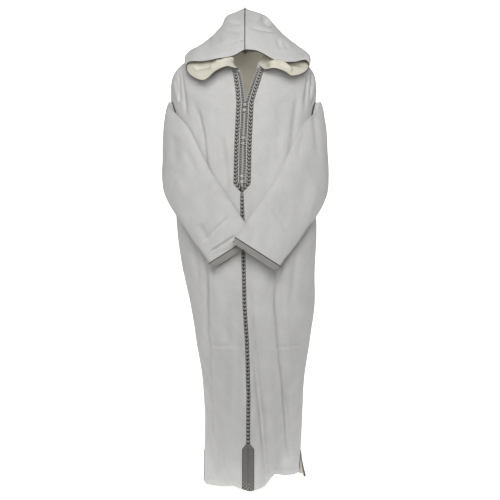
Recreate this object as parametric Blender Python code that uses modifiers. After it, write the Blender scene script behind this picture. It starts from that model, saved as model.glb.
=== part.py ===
"""Djellaba: a hooded, ankle-length robe, hollow and filled out as when worn, with its
two empty sleeves folded forward and crossed over the front.

Metres, +Z up. The front faces -Y. Left and right are the viewer's, facing the front.
The origin is the middle of the wearer's shoulders, at the base of the neck.

Each cut piece is an open surface worked out from a short table of sections, and then
given its wall. What is sewn onto a piece is made from that piece's own points, moved
out by the seam gap.
"""
import math
from collections import namedtuple

import bmesh
import bpy
import numpy as np
from mathutils import Vector
from mathutils.bvhtree import BVHTree

# Driving dimensions
CLOTH = 0.0016  # wall of the woven cloth
BRAID = 0.0012  # wall of the flat sewn-on braid
SEAM_GAP = 0.0004  # between pieces that meet at a seam, or lie on each other
PLACKET_TOP = 0.5  # section number where the placket's braid starts, under the hood
PLACKET_SHOULDER_Z = -0.417  # where the placket's braid turns in to its point
PLACKET_END_Z = -0.446
TAB_TOP_Z = -1.254
TAB_SHOULDER_Z = -1.271
TAB_TIP_WIDTH = 0.012
TAB_RIBS = 8
TAB_RIB_HEIGHT = 0.0007
CUFF_BRAID_WIDTH = 0.019
SIDE_BAND_ANGLE = 3.4  # the braid round the armholes and the side slits
CORD_RADIUS = 0.0015  # the cord round the face opening and along the hood's seam
KNOT_RADIUS = 0.0042  # knotted buttons of the placket
KNOT_SPACING = 0.018  # between the two buttons of a pair
LOOP_RADIUS = 0.0009
LOOP_REACH = 0.0100  # how far a button's loop runs onto the right side
NAPE_RING_RADIUS = 0.0040
NAPE_RING_OFFSET = 0.0014
NAPE_SEAT = (0.0, 0.0664, 0.044)  # on the inside of the neck seam, at the back

# Colours as the cloth and the braid show them
CREAM = (0.66, 0.655, 0.62, 1.0)
BRAID_GREY = (0.16, 0.15, 0.14, 1.0)
BRAID_BLACK = (0.03, 0.028, 0.026, 1.0)
KNOT_SILVER = (0.62, 0.60, 0.56, 1.0)

# The body of the robe, from the neck seam to the hem. Each section is a rounded ring:
# how far it reaches left, right, front and back of the origin, and the height of its
# sides, its front and its back. Squareness 2 is an ellipse.
Section = namedtuple(
    "Section", "name z_side z_front z_back left right front back squareness"
)
BODY = (
    Section("neck", 0.042, -0.045, 0.046, 0.078, 0.078, 0.100, 0.068, 2.0),
    Section("shoulder inner", 0.027, -0.062, 0.022, 0.133, 0.133, 0.108, 0.084, 2.05),
    Section("shoulder outer", 0.003, -0.083, -0.014, 0.190, 0.192, 0.114, 0.101, 2.15),
    Section("shoulder tip", -0.028, -0.103, -0.056, 0.227, 0.228, 0.118, 0.113, 2.25),
    Section("upper arm", -0.070, -0.122, -0.096, 0.245, 0.241, 0.121, 0.119, 2.3),
    Section("armhole top", -0.140, -0.145, -0.142, 0.246, 0.238, 0.124, 0.124, 2.35),
    Section("armhole middle", -0.270, -0.270, -0.270, 0.240, 0.238, 0.127, 0.126, 2.4),
    Section("underarm", -0.405, -0.405, -0.405, 0.236, 0.240, 0.129, 0.121, 2.4),
    Section("waist", -0.560, -0.560, -0.560, 0.226, 0.242, 0.129, 0.117, 2.35),
    Section("hip", -0.693, -0.693, -0.693, 0.206, 0.236, 0.131, 0.127, 2.3),
    Section("thigh", -0.812, -0.812, -0.812, 0.180, 0.234, 0.133, 0.132, 2.3),
    Section("knee", -0.930, -0.930, -0.930, 0.164, 0.219, 0.134, 0.132, 2.3),
    Section("calf", -1.050, -1.050, -1.050, 0.146, 0.201, 0.134, 0.130, 2.3),
    Section("shin", -1.160, -1.160, -1.160, 0.137, 0.194, 0.135, 0.129, 2.3),
    Section("slit top", -1.300, -1.300, -1.300, 0.135, 0.187, 0.136, 0.129, 2.3),
    Section("hem", -1.378, -1.378, -1.378, 0.134, 0.184, 0.138, 0.130, 2.3),
)
ARMHOLE_TOP = 5
UNDERARM = 7
SLIT_TOP = 14
HEM = len(BODY) - 1
SIDE_SEAM_ANGLE = {
    -1: (90, 90, 90, 89, 86, 80, 80, 86, 89, 90, 90, 90, 91, 94, 98, 99),
    1: (90, 90, 90, 89, 86, 80, 80, 86, 89, 90, 90, 90, 90, 90, 90, 90),
}
ARMHOLE_HALF_ANGLE = 15.0
SLIT_HALF_ANGLE = 3.5
HEM_LINE = (  # angle round the body, height
    (-180, -1.385),
    (-135, -1.398),
    (-90, -1.405),
    (-45, -1.395),
    (-22, -1.392),
    (-8, -1.402),
    (-2, -1.407),
    (4, -1.400),
    (12, -1.391),
    (19, -1.364),
    (24, -1.355),
    (45, -1.367),
    (66, -1.366),
    (84, -1.361),
    (90, -1.355),
    (91, -1.388),
    (110, -1.386),
    (135, -1.378),
    (180, -1.385),
)
TAIL = (  # angle, how far the back panel's corner swings out there and forward
    (92, 0.0100, 0.0260),
    (97, 0.0200, 0.0160),
    (106, 0.0120, 0.0060),
    (116, 0, 0),
)
FOLD_RADIUS = 0.18  # the body's mean radius, which turns a fold's width into an angle

# Folds in the body, ridges with a depth over zero and troughs under it. Each runs from
# (x_top, z_top) to (x_bottom, z_bottom) and fades in and out over its fade.
Fold = namedtuple("Fold", "side x_top z_top x_bottom z_bottom width depth fade")
FOLDS = (
    Fold("front", -0.213, 0.00, -0.192, -0.20, 0.0080, -0.0080, 0.05),
    Fold("front", 0.212, -0.01, 0.196, -0.18, 0.0080, -0.0070, 0.05),
    Fold("front", -0.166, -0.12, -0.118, -0.46, 0.0110, -0.0070, 0.08),
    Fold("front", 0.176, -0.10, 0.132, -0.46, 0.0110, -0.0060, 0.08),
    Fold("front", -0.090, -0.18, -0.058, -0.62, 0.0160, -0.0050, 0.12),
    Fold("front", 0.088, -0.20, 0.062, -0.58, 0.0160, -0.0045, 0.12),
    Fold("front", -0.133, -0.58, -0.104, -1.30, 0.0110, -0.0110, 0.10),
    Fold("front", -0.085, -0.66, -0.078, -1.60, 0.0330, 0.0080, 0.20),
    Fold("front", -0.042, -0.70, -0.034, -1.60, 0.0200, -0.0080, 0.20),
    Fold("front", 0.032, -0.60, 0.042, -1.60, 0.0180, 0.0070, 0.20),
    Fold("front", 0.034, -0.86, 0.074, -1.45, 0.0100, -0.0150, 0.30),
    Fold("front", 0.062, -0.66, 0.098, -1.60, 0.0180, 0.0060, 0.20),
    Fold("front", 0.094, -0.58, 0.160, -1.34, 0.0120, -0.0130, 0.12),
    Fold("front", 0.128, -0.95, 0.135, -1.70, 0.0500, -0.0260, 0.40),
    Fold("back", -0.120, -0.30, -0.100, -1.60, 0.0220, -0.0120, 0.30),
    Fold("back", -0.070, -0.50, -0.048, -1.60, 0.0240, 0.0110, 0.30),
    Fold("back", -0.018, -0.16, 0.004, -1.60, 0.0200, -0.0120, 0.30),
    Fold("back", 0.045, -0.50, 0.052, -1.60, 0.0240, 0.0120, 0.30),
    Fold("back", 0.105, -0.26, 0.100, -1.60, 0.0200, -0.0120, 0.30),
    Fold("back", 0.150, -0.60, 0.148, -1.60, 0.0220, 0.0100, 0.30),
)

# The middle of the front, which leans a little, and the open neck slit above it.
CENTRE_LINE = (
    (-0.148, 0.001),
    (-0.290, -0.006),
    (-0.437, -0.0095),
    (-0.650, -0.0045),
    (-0.812, 0.0),
    (-0.930, 0.007),
    (-1.100, 0.0120),
    (-1.378, 0.0105),
)
NECK_SLIT = (  # height, left edge, right edge
    (-0.045, -0.0165, 0.0420),
    (-0.075, -0.0080, 0.0270),
    (-0.105, -0.0035, 0.0160),
    (-0.130, -0.0010, 0.0075),
    (-0.150, 0.0002, 0.0018),
)

# Seams and braid edges beside the middle of the front, as distances from it
FrontLine = namedtuple("FrontLine", "z cord beads chevron outer")
FRONT_LINES = (
    FrontLine(-0.045, 0.0035, 0.0105, 0.0140, 0.0270),
    FrontLine(-0.446, 0.0035, 0.0105, 0.0140, 0.0275),
    FrontLine(-0.500, 0.0058, 0.0115, 0.0190, 0.0300),
    FrontLine(-1.378, 0.0055, 0.0115, 0.0190, 0.0300),
)

# The sleeve on the left, from the armhole to the cuff. A flat tube between its top
# crease and its underarm seam; out is the side that faces away from the robe.
Flat = namedtuple("Flat", "name crease seam out half_thickness roundness")
SLEEVE = (
    Flat("turn", (-0.252, -0.030, -0.140), (-0.254, -0.014, -0.408),
         (-0.45, 0.88, 0), 0.0300, 2.3),
    Flat("side", (-0.245, -0.063, -0.162), (-0.261, -0.034, -0.430),
         (-0.75, 0.62, 0), 0.0270, 2.8),
    Flat("fold", (-0.216, -0.098, -0.197), (-0.252, -0.066, -0.466),
         (-0.96, 0.10, 0), 0.0210, 3.4),
    Flat("upper front", (-0.178, -0.122, -0.243), (-0.227, -0.096, -0.512),
         (-0.80, -0.58, 0), 0.0150, 4.5),
    Flat("front", (-0.148, -0.137, -0.305), (-0.199, -0.119, -0.553),
         (-0.45, -0.88, 0), 0.0120, 5.5),
    Flat("elbow", (-0.1045, -0.145, -0.387), (-0.171, -0.134, -0.592),
         (-0.22, -0.97, 0), 0.0105, 6.0),
    Flat("forearm", (-0.066, -0.149, -0.447), (-0.149, -0.142, -0.622),
         (-0.12, -0.99, 0), 0.0100, 6.0),
    Flat("wrist", (-0.030, -0.150, -0.500), (-0.130, -0.146, -0.648),
         (-0.05, -1.0, 0), 0.0100, 6.0),
    Flat("cuff start", (0.005, -0.150, -0.552), (-0.115, -0.149, -0.669),
         (0, -1.0, 0), 0.0105, 5.5),
    Flat("cuff", (0.0378, -0.151, -0.598), (-0.102, -0.151, -0.687),
         (0, -1.0, 0), 0.0115, 5.0),
)
# How the right sleeve differs: it is lower at the cuff, fuller outside, and lies over
# the left one.
RIGHT_SLEEVE_LIFT = (0, 0, 0, 0, 0, 0.001, 0.006, 0.016, 0.028, 0.030)
RIGHT_SLEEVE_DROP = (0, 0, 0, 0, 0.003, 0.005, 0.007, 0.008, 0.009, 0.009)
RIGHT_SLEEVE_SPREAD = (0, 0.004, 0.008, 0.010, 0.006, 0.004, 0.002, 0, 0, 0)
SLEEVE_CLEARANCE = 0.0045
SLEEVE_POINTS = 20  # round a sleeve

# The left half of the hood. Each rib runs from the face opening's edge over the side
# of the hood to the seam at its back. The right half has its own edge, with the same
# roll beside it, and the rest is the left half mirrored, with x times spread.
Rib = namedtuple("Rib", "name edge edge_right roll cheek side nape seam spread")
HOOD = (
    Rib("throat", (-0.031, -0.122, -0.043), (0.066, -0.122, -0.046),
        (-0.040, -0.110, -0.030), (-0.071, -0.072, 0.010), (-0.089, -0.006, 0.054),
        (-0.062, 0.050, 0.060), (0.0, 0.077, 0.058), 1.05),
    Rib("crest", (-0.058, -0.142, -0.039), (0.092, -0.140, -0.045),
        (-0.061, -0.128, -0.019), (-0.081, -0.085, 0.012), (-0.099, -0.010, 0.060),
        (-0.067, 0.056, 0.072), (0.0, 0.085, 0.072), 1.16),
    Rib("fall", (-0.093, -0.150, -0.0565), (0.126, -0.148, -0.056),
        (-0.092, -0.136, -0.046), (-0.108, -0.092, -0.010), (-0.122, -0.014, 0.040),
        (-0.078, 0.064, 0.076), (0.0, 0.092, 0.086), 1.22),
    Rib("trough", (-0.128, -0.148, -0.086), (0.152, -0.140, -0.070),
        (-0.126, -0.136, -0.080), (-0.144, -0.094, -0.030), (-0.152, -0.012, 0.036),
        (-0.086, 0.072, 0.084), (0.0, 0.097, 0.100), 1.12),
    Rib("under wing", (-0.177, -0.112, -0.062), (0.190, -0.112, -0.056),
        (-0.177, -0.098, -0.050), (-0.186, -0.060, -0.008), (-0.178, 0.000, 0.034),
        (-0.094, 0.078, 0.090), (0.0, 0.100, 0.112), 1.07),
    Rib("wing tip", (-0.194, -0.088, -0.029), (0.2115, -0.088, -0.031),
        (-0.198, -0.072, -0.014), (-0.198, -0.040, 0.012), (-0.178, 0.010, 0.042),
        (-0.097, 0.080, 0.098), (0.0, 0.102, 0.121), 1.07),
    Rib("over wing", (-0.178, -0.092, -0.013), (0.199, -0.092, -0.009),
        (-0.184, -0.076, 0.002), (-0.184, -0.045, 0.026), (-0.167, 0.008, 0.050),
        (-0.097, 0.079, 0.105), (0.0, 0.102, 0.131), 1.10),
    Rib("wing brow", (-0.138, -0.108, -0.016), (0.157, -0.110, -0.019),
        (-0.144, -0.098, 0.002), (-0.152, -0.062, 0.038), (-0.146, 0.000, 0.060),
        (-0.090, 0.070, 0.114), (0.0, 0.099, 0.143), 1.15),
    Rib("brow", (-0.091, -0.126, -0.012), (0.101, -0.130, -0.017),
        (-0.096, -0.118, 0.008), (-0.110, -0.078, 0.056), (-0.112, -0.010, 0.084),
        (-0.074, 0.054, 0.128), (0.0, 0.090, 0.156), 1.22),
    Rib("temple", (-0.039, -0.132, -0.003), (0.0585, -0.134, 0.0045),
        (-0.042, -0.126, 0.018), (-0.062, -0.088, 0.082), (-0.079, -0.022, 0.114),
        (-0.056, 0.036, 0.146), (0.0, 0.076, 0.168), 1.30),
    Rib("forehead", (-0.0135, -0.131, 0.0105), (0.034, -0.132, 0.0150),
        (-0.016, -0.126, 0.032), (-0.034, -0.090, 0.100), (-0.061, -0.030, 0.146),
        (-0.036, 0.018, 0.166), (0.0, 0.056, 0.178), 1.12),
    Rib("ridge", (0.0, -0.129, 0.018), (0.0, -0.129, 0.018),
        (0.0, -0.124, 0.044), (0.0, -0.098, 0.104), (0.0, -0.050, 0.158),
        (0.0, -0.010, 0.180), (0.0, 0.026, 0.185), 1.0),
)
HOOD_CLEARANCE = 0.002
HOOD_COLUMNS = 12
NECK_MARKS = {  # where a rib's roll, cheek, side, nape and seam meet the neck seam
    -1: (28, 52, 88, 130, 180),
    1: (44, 60, 90, 131, 180),
}
BESIDE = 0.001  # a point further than this past a surface's edge isn't over it

# Knotted buttons down the placket, by height
BUTTON_HEIGHTS = (-0.169, -0.277, -0.400)


def spline(rows, at):
    """A smooth curve through the rows of a table; at counts the rows from 0."""
    rows = np.asarray(rows, float)
    last = len(rows) - 1
    at = np.clip(np.asarray(at, float), 0, last)
    i = np.minimum(at.astype(int), last - 1)
    f = (at - i)[(...,) + (None,) * (rows.ndim - 1)]
    before, a = rows[np.maximum(i - 1, 0)], rows[i]
    b, after = rows[i + 1], rows[np.minimum(i + 2, last)]
    return 0.5 * (
        2 * a
        + (b - before) * f
        + (2 * before - 5 * a + 4 * b - after) * f**2
        + (3 * a - before - 3 * b + after) * f**3
    )


def smooth_step(t):
    t = np.clip(t, 0, 1)
    return t * t * (3 - 2 * t)


def unit(vectors):
    return vectors / np.maximum(np.linalg.norm(vectors, axis=-1, keepdims=True), 1e-12)


# The body's surface, in section number and angle: 0 is the front, -90 the left side,
# 90 the right side and 180 the back.
BODY_ROWS = np.array([row[1:] for row in BODY])
DENSE = np.linspace(0, HEM, 600)
DENSE_ROWS = spline(BODY_ROWS, DENSE)


def section_at_front(z):
    return np.interp(-np.asarray(z), -DENSE_ROWS[:, 1], DENSE)


def front_angle(x, section):
    """The angle of the body's front point at that x, in degrees."""
    rows = spline(BODY_ROWS, section)
    left, right, square = rows[..., 3], rows[..., 4], rows[..., 7]
    share = np.clip((x - (right - left) / 2) / ((right + left) / 2), -1, 1)
    return np.degrees(np.arcsin(np.sign(share) * np.abs(share) ** (square / 2)))


def fold_height(section, angle):
    """How far the folds move the body's surface out at that place."""
    z = spline(BODY_ROWS, section)[..., 0]
    total = np.zeros(np.broadcast(section, angle).shape)
    for fold in FOLDS:
        along = np.clip((fold.z_top - z) / (fold.z_top - fold.z_bottom), 0, 1)
        x = fold.x_top + (fold.x_bottom - fold.x_top) * along
        at = front_angle(x, section)
        if fold.side == "back":
            at = 180 - at
        off = np.radians((angle - at + 180) % 360 - 180) * FOLD_RADIUS / fold.width
        shown = smooth_step((fold.z_top - z) / fold.fade)
        shown = shown * smooth_step((z - fold.z_bottom) / fold.fade)
        total = total + fold.depth * shown * np.exp(-(off**2))
    return total


def body(section, angle):
    """Points on the outside of the robe's body."""
    section, angle = np.broadcast_arrays(
        np.asarray(section, float), np.asarray(angle, float)
    )
    rows = spline(BODY_ROWS, section)
    z_side, z_front, z_back, left, right, front, back, square = np.moveaxis(rows, -1, 0)
    s, c = np.sin(np.radians(angle)), np.cos(np.radians(angle))
    reach, depth = (left + right) / 2, np.where(c > 0, front, back)
    x = (right - left) / 2 + reach * np.sign(s) * np.abs(s) ** (2 / square)
    y = -depth * np.sign(c) * np.abs(c) ** (2 / square)
    z = z_side * s**2 + np.where(c > 0, z_front, z_back) * c**2
    hem = np.interp((angle + 180) % 360 - 180, *zip(*HEM_LINE))
    top = BODY[SLIT_TOP].z_side
    below = top + (hem - top) * (section - SLIT_TOP) / (HEM - SLIT_TOP)
    z = np.where(section > SLIT_TOP, below, z)
    lean = 2 * (square - 1) / square
    out = np.stack(
        [
            np.sign(s) * np.abs(s) ** lean / reach,
            -np.sign(c) * np.abs(c) ** lean / depth,
            np.zeros_like(s),
        ],
        -1,
    )
    return np.stack([x, y, z], -1) + unit(out) * fold_height(section, angle)[..., None]


def body_normal(section, angle):
    step_down, step_round = 0.02, 0.5
    down = body(section + step_down, angle) - body(section - step_down, angle)
    around = body(section, angle + step_round) - body(section, angle - step_round)
    return unit(np.cross(down, around))


def body_moved_out(section, angle, by):
    return body(section, angle) + body_normal(section, angle) * by


def centre_x(z):
    heights, xs = zip(*CENTRE_LINE)
    return np.interp(-np.asarray(z), [-h for h in heights], xs)


def slit_edge(z, side):
    """x of the front edge of the left (-1) or right (1) front panel."""
    heights, lefts, rights = zip(*NECK_SLIT)
    edges = lefts if side < 0 else rights
    open_x = np.interp(-np.asarray(z), [-h for h in heights], edges)
    closed_x = centre_x(z) + side * SEAM_GAP / 2
    return np.where(np.asarray(z) > heights[-1], open_x, closed_x)


def armhole_opening(section):
    """Half the armhole's width there, in degrees."""
    along = np.clip((section - ARMHOLE_TOP) / (UNDERARM - ARMHOLE_TOP), 0, 1)
    return ARMHOLE_HALF_ANGLE * np.sin(np.pi * along) ** 0.6


def side_opening(section, side):
    """Half the gap between the front and back panels at the side, in degrees."""
    middle = side * side_seam(section, side)
    seam = np.full(np.shape(section), 0.05)
    for _ in range(5):
        apart = body(section, middle + seam) - body(section, middle - seam)
        seam = seam * SEAM_GAP / np.linalg.norm(apart, axis=-1)
    slit = SLIT_HALF_ANGLE * smooth_step((section - SLIT_TOP) / (HEM - SLIT_TOP))
    return seam + armhole_opening(section) + slit


def side_seam(section, side):
    return spline(np.array(SIDE_SEAM_ANGLE[side], float)[:, None], section)[..., 0]


def tail(section, angle):
    """How far the back panel's corner swings out beside the right slit."""
    low = np.clip((section - SLIT_TOP) / (HEM - SLIT_TOP), 0, 1)
    angles, outs, forwards = zip(*TAIL)
    x, y = np.interp(angle, angles, outs), -np.interp(angle, angles, forwards)
    return np.stack([x * low, y * low, 0 * low * x], -1)


def keep_clear(points, tree, gap):
    """The points, with any that are nearer to the surface than gap moved off it."""
    moved = points.reshape(-1, 3).copy()
    gaps = np.broadcast_to(gap, points.shape[:-1]).reshape(-1)
    for i, point in enumerate(moved):
        place, normal, _, _ = tree.find_nearest(Vector(point))
        off = Vector(point) - place
        short = gaps[i] - off.dot(normal)
        beside = (off - normal * off.dot(normal)).length
        if short > 0 and beside < BESIDE:
            moved[i] += np.array(normal) * short
    return moved.reshape(points.shape)


def grid_faces(rows, columns, closed):
    """Quads of a grid of points; closed joins its last column to its first."""
    faces = []
    for r in range(rows - 1):
        for c in range(columns if closed else columns - 1):
            d = (c + 1) % columns
            first, second = r * columns, (r + 1) * columns
            faces.append((first + c, second + c, second + d, first + d))
    return faces


def surface_tree(points, closed):
    rows, columns = points.shape[:2]
    corners = [Vector(p) for p in points.reshape(-1, 3)]
    return BVHTree.FromPolygons(corners, grid_faces(rows, columns, closed))


def material(name, colour, roughness):
    made = bpy.data.materials.get(name)
    if made is None:
        made = bpy.data.materials.new(name)
        made.use_nodes = True
        shader = made.node_tree.nodes["Principled BSDF"]
        shader.inputs["Base Color"].default_value = colour
        shader.inputs["Roughness"].default_value = roughness
        shader.inputs["Metallic"].default_value = 0.0
        made.diffuse_color = colour
    return made


def add_object(name, data, finish):
    made = bpy.data.objects.new(name, data)
    data.materials.append(material(*finish))
    PARTS.objects.link(made)
    return made


def shell(name, points, finish, wall, outward=False, closed=False):
    """A piece of cloth or braid: the grid's surface, with a wall on one side of it."""
    mesh = bpy.data.meshes.new(name)
    rows, columns = points.shape[:2]
    mesh.from_pydata(
        points.reshape(-1, 3).tolist(), [], grid_faces(rows, columns, closed)
    )
    mesh.update()
    mesh.shade_smooth()
    made = add_object(name, mesh, finish)
    thicken = made.modifiers.new("wall", "SOLIDIFY")
    thicken.thickness = wall
    thicken.offset = 1.0 if outward else -1.0
    thicken.use_even_offset = True
    return made


def cord(name, points, finish, radius, roundness=1):
    """A round cord along the points."""
    curve = bpy.data.curves.new(name, "CURVE")
    curve.dimensions = "3D"
    curve.bevel_depth = radius
    curve.bevel_resolution = roundness
    curve.use_fill_caps = True
    line = curve.splines.new("POLY")
    line.points.add(len(points) - 1)
    for place, point in zip(line.points, points):
        place.co = (*point, 1.0)
    return add_object(name, curve, finish)


CLOTH_FINISH = ("cream cloth", CREAM, 0.85)
BRAID_FINISH = ("grey braid", BRAID_GREY, 0.7)
BLACK_FINISH = ("black braid", BRAID_BLACK, 0.7)
KNOT_FINISH = ("silver knot", KNOT_SILVER, 0.5)


# Front and back panels
def armhole_sections():
    """The heights round the armhole, the same for the panels and for the sleeve."""
    turn = np.arange(SLEEVE_POINTS // 2 + 1) / SLEEVE_POINTS * 2 * np.pi
    return ARMHOLE_TOP + (UNDERARM - ARMHOLE_TOP) * (1 - np.cos(turn)) / 2


def neck_line(side, angle):
    """Points on the neck seam, along the straight steps between the hood's columns."""
    own = neck_angles(side)
    points = body(0.0, own)
    order = np.argsort(own)
    return np.stack([np.interp(angle, own[order], points[order, i]) for i in range(3)], -1)


def neck_angles(side):
    """The angles round the neck that the hood's columns start from."""
    start = float(front_angle(slit_edge(BODY[0].z_front, side), np.array(0.0)))
    marks = [start, *(side * angle for angle in NECK_MARKS[side])]
    at = np.linspace(0, len(marks) - 1, HOOD_COLUMNS + 1)
    return np.interp(at, np.arange(len(marks)), marks)


def panel_sections():
    """Section numbers of the panels' rows, with one at each end of a braid."""
    even = np.concatenate(
        [
            np.arange(0, ARMHOLE_TOP, 0.5),
            armhole_sections(),
            np.arange(UNDERARM + 1, SLIT_TOP),
            np.linspace(SLIT_TOP, HEM, 4),
        ]
    )
    heights = (NECK_SLIT[-1][0], PLACKET_SHOULDER_Z, PLACKET_END_Z)
    ends = section_at_front(np.array([*heights, TAB_TOP_Z, TAB_SHOULDER_Z]))
    fixed = (0, *armhole_sections(), SLIT_TOP, HEM)
    kept = [row for row in even if row in fixed or np.abs(ends - row).min() > 0.15]
    ends = [row for row in ends if np.abs(armhole_sections() - row).min() > 0.03]
    return np.unique([*kept, *ends])


def front_distances(z):
    """How far from the middle of the front the columns for the braids lie."""
    lines = np.array(FRONT_LINES)
    columns = [np.interp(-z, -lines[:, 0], lines[:, i]) for i in range(1, 5)]
    return np.concatenate([np.zeros_like(z), *columns], 1)


def front_panel(side, columns=8):
    """Columns run from the middle of the front to the side."""
    section = panel_sections()[:, None]
    z = spline(BODY_ROWS, section)[..., 1]
    near = front_angle(slit_edge(z, side) + side * front_distances(z), section)
    end = side * (side_seam(section, side) - side_opening(section, side))
    band = end - side * SIDE_BAND_ANGLE
    share = np.arange(1, columns + 1)[None, :] / columns
    between = near[:, -1:] + (band - near[:, -1:]) * share
    angle = np.concatenate([near, between, end], 1)
    points = body(section, angle)
    points[0] = neck_line(side, angle[0])
    return points


def back_panel(columns=18):
    """Columns run from the right side round the back to the left side."""
    section = panel_sections()[:, None]
    right, left = (180 - side_seam(section, s) - side_opening(section, s) for s in (1, -1))
    share = np.linspace(0, 1, columns + 1)[None, :]
    first, last = SIDE_BAND_ANGLE - right, left - SIDE_BAND_ANGLE
    between = first + (last - first) * share
    angle = 180 + np.concatenate([-right, between, left], 1)
    points = body(section, angle) + tail(section, angle)
    halves = neck_line(1, angle[0]), neck_line(-1, angle[0] - 360)
    points[0] = np.where(angle[0][:, None] <= 180, *halves)
    return points


def face_out(points, side):
    """The grid with its columns in the order that turns its faces outward."""
    return points if side > 0 else points[:, ::-1]


def grid_normals(points, closed=False):
    """Outward normals at a grid's points, from the faces round each."""
    wide = np.concatenate([points, points[:, :1]], 1) if closed else points
    across = wide[1:, 1:] - wide[:-1, :-1]
    other = wide[1:, :-1] - wide[:-1, 1:]
    faces = unit(np.cross(other, across))
    total = np.zeros(wide.shape)
    for rows in (slice(0, -1), slice(1, None)):
        for columns in (slice(0, -1), slice(1, None)):
            total[rows, columns] += faces
    if closed:
        total[:, 0] += total[:, -1]
        total = total[:, :-1]
    return unit(total)


def moved_out(points, by, closed=False):
    return points + grid_normals(points, closed) * by


def make_panels(fronts, back):
    for side, name in ((-1, "left"), (1, "right")):
        shell("robe_front_" + name, face_out(fronts[side], side), CLOTH_FINISH, CLOTH)
    shell("robe_back", back, CLOTH_FINISH, CLOTH)


# Sleeves
def armhole_ring(side, spread):
    """The sleeve's first ring, on the armhole; spread goes 1 to -1, top to bottom."""
    along = (1 - spread["across"]) / 2
    section = ARMHOLE_TOP + (UNDERARM - ARMHOLE_TOP) * along
    angle = side_seam(section, side) + spread["layer"] * armhole_opening(section)
    return body_moved_out(section, side * angle, SEAM_GAP)


def ring_spread(count):
    """Places round a sleeve ring: crease, outer layer, seam, inner layer."""
    turn = np.arange(count) / count * 2 * np.pi
    return {"across": np.cos(turn), "layer": np.where(turn <= np.pi, 1.0, -1.0)}


def flat_ring(side, index, spread):
    flat = SLEEVE[index]
    crease, seam = np.array(flat.crease), np.array(flat.seam)
    if side > 0:
        crease, seam = crease * (-1, 1, 1), seam * (-1, 1, 1)
        change = (
            -RIGHT_SLEEVE_LIFT[index],
            -RIGHT_SLEEVE_DROP[index],
        )
        crease = crease + (0, *change)
        seam = seam + (RIGHT_SLEEVE_SPREAD[index], *change)
    out = unit(np.array(flat.out, float)) * (-side, 1, 1)
    across = spread["across"][:, None]
    height = (1 - np.abs(across) ** flat.roundness) ** 0.5 * spread["layer"][:, None]
    middle, half = (crease + seam) / 2, (crease - seam) / 2
    return middle + half * across + out * height * flat.half_thickness


def sleeve_rings(side, count):
    spread = ring_spread(count)
    rings = [armhole_ring(side, spread)]
    rings += [flat_ring(side, i, spread) for i in range(len(SLEEVE))]
    return np.array(rings)


def sleeve(side, at, count, body_tree, under=None):
    """Rings of the sleeve; at counts the sections from the armhole, which is 0."""
    rings = spline(sleeve_rings(side, count), at)
    gap = SEAM_GAP + (SLEEVE_CLEARANCE - SEAM_GAP) * smooth_step(np.asarray(at) * 3.5)
    rings = keep_clear(rings, body_tree, gap[:, None])
    if under is not None:
        rings = keep_clear(rings, under, SLEEVE_CLEARANCE * smooth_step(at - 5)[:, None])
    return rings if side > 0 else rings[:, ::-1]


def cuff_start(rings):
    """The ring where the cuff's braid starts, the braid's width above the sleeve's end."""
    run = rings[-3] - rings[-1]
    return rings[-1] + unit(run) * CUFF_BRAID_WIDTH


def make_sleeves(body_tree):
    last, count = len(SLEEVE), SLEEVE_POINTS
    under = None
    for side, name in ((-1, "left"), (1, "right")):
        at = np.array([0, 0.12, 0.25, 0.6, *np.arange(1, last, 0.5), last])
        rings = sleeve(side, at, count, body_tree, under)
        rings[-2] = cuff_start(rings)
        shell("sleeve_" + name, rings, CLOTH_FINISH, CLOTH, closed=True)
        cuff = moved_out(rings, SEAM_GAP, True)[-2:]
        shell("cuff_braid_" + name, cuff, BRAID_FINISH, BRAID, True, True)
        under = surface_tree(rings, True)


# Hood
def hood_rows(side):
    """The rib points of one half, with the neck seam before them as the first rib."""
    rows = []
    for rib in HOOD:
        edge = rib.edge if side < 0 else rib.edge_right
        spread = (1, 1, 1) if side < 0 else (-rib.spread, 1, 1)
        mirror = (-side, 1, 1)
        roll = np.array(edge) + (np.array(rib.roll) - rib.edge) * mirror
        rest = [np.array(p) * spread for p in (rib.cheek, rib.side, rib.nape, rib.seam)]
        path = np.array([edge, roll, *rest])
        rows.append(spline(path, np.linspace(0, len(path) - 1, HOOD_COLUMNS + 1)))
    angle = neck_angles(side)
    up = unit(body(0.0, angle) - body(0.08, angle))
    return np.array([body(0.0, angle) + up * SEAM_GAP * 1.5, *rows])


def hood(side, at, body_tree):
    """Rows from the neck seam to the seam on top; columns from the face to the back."""
    rows = spline(hood_rows(side), at)
    gap = HOOD_CLEARANCE * smooth_step(np.asarray(at) / 1.5)
    over = np.asarray(at) >= 1
    rows[over] = keep_clear(rows[over], body_tree, gap[over, None])
    return mitred(rows, side)


def mitred(rows, side):
    """The half with its edges at the middle held back, so that its wall stops there."""
    sideways = np.abs(grid_normals(rows)[..., 0])
    least = SEAM_GAP / 2 + CLOTH * sideways
    rows[..., 0] = side * np.maximum(side * rows[..., 0], least)
    return rows


def beyond_edge(half, normals, distance):
    """A line beside the face opening's edge, in the middle of the cloth's wall."""
    edge = half[:, 0] - normals[:, 0] * CLOTH / 2
    steps = unit(np.diff(edge, axis=0))
    before, after = np.concatenate([steps[:1], steps]), np.concatenate([steps, steps[-1:]])
    along = unit(before + after)
    away = np.cross(along, normals[:, 0])
    away = unit(away) * np.sign((away * (half[:, 0] - half[:, 1])).sum(-1))[:, None]
    bend = np.maximum((before * along).sum(-1), 0.6)
    return edge + away * (distance / bend)[:, None]


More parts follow.
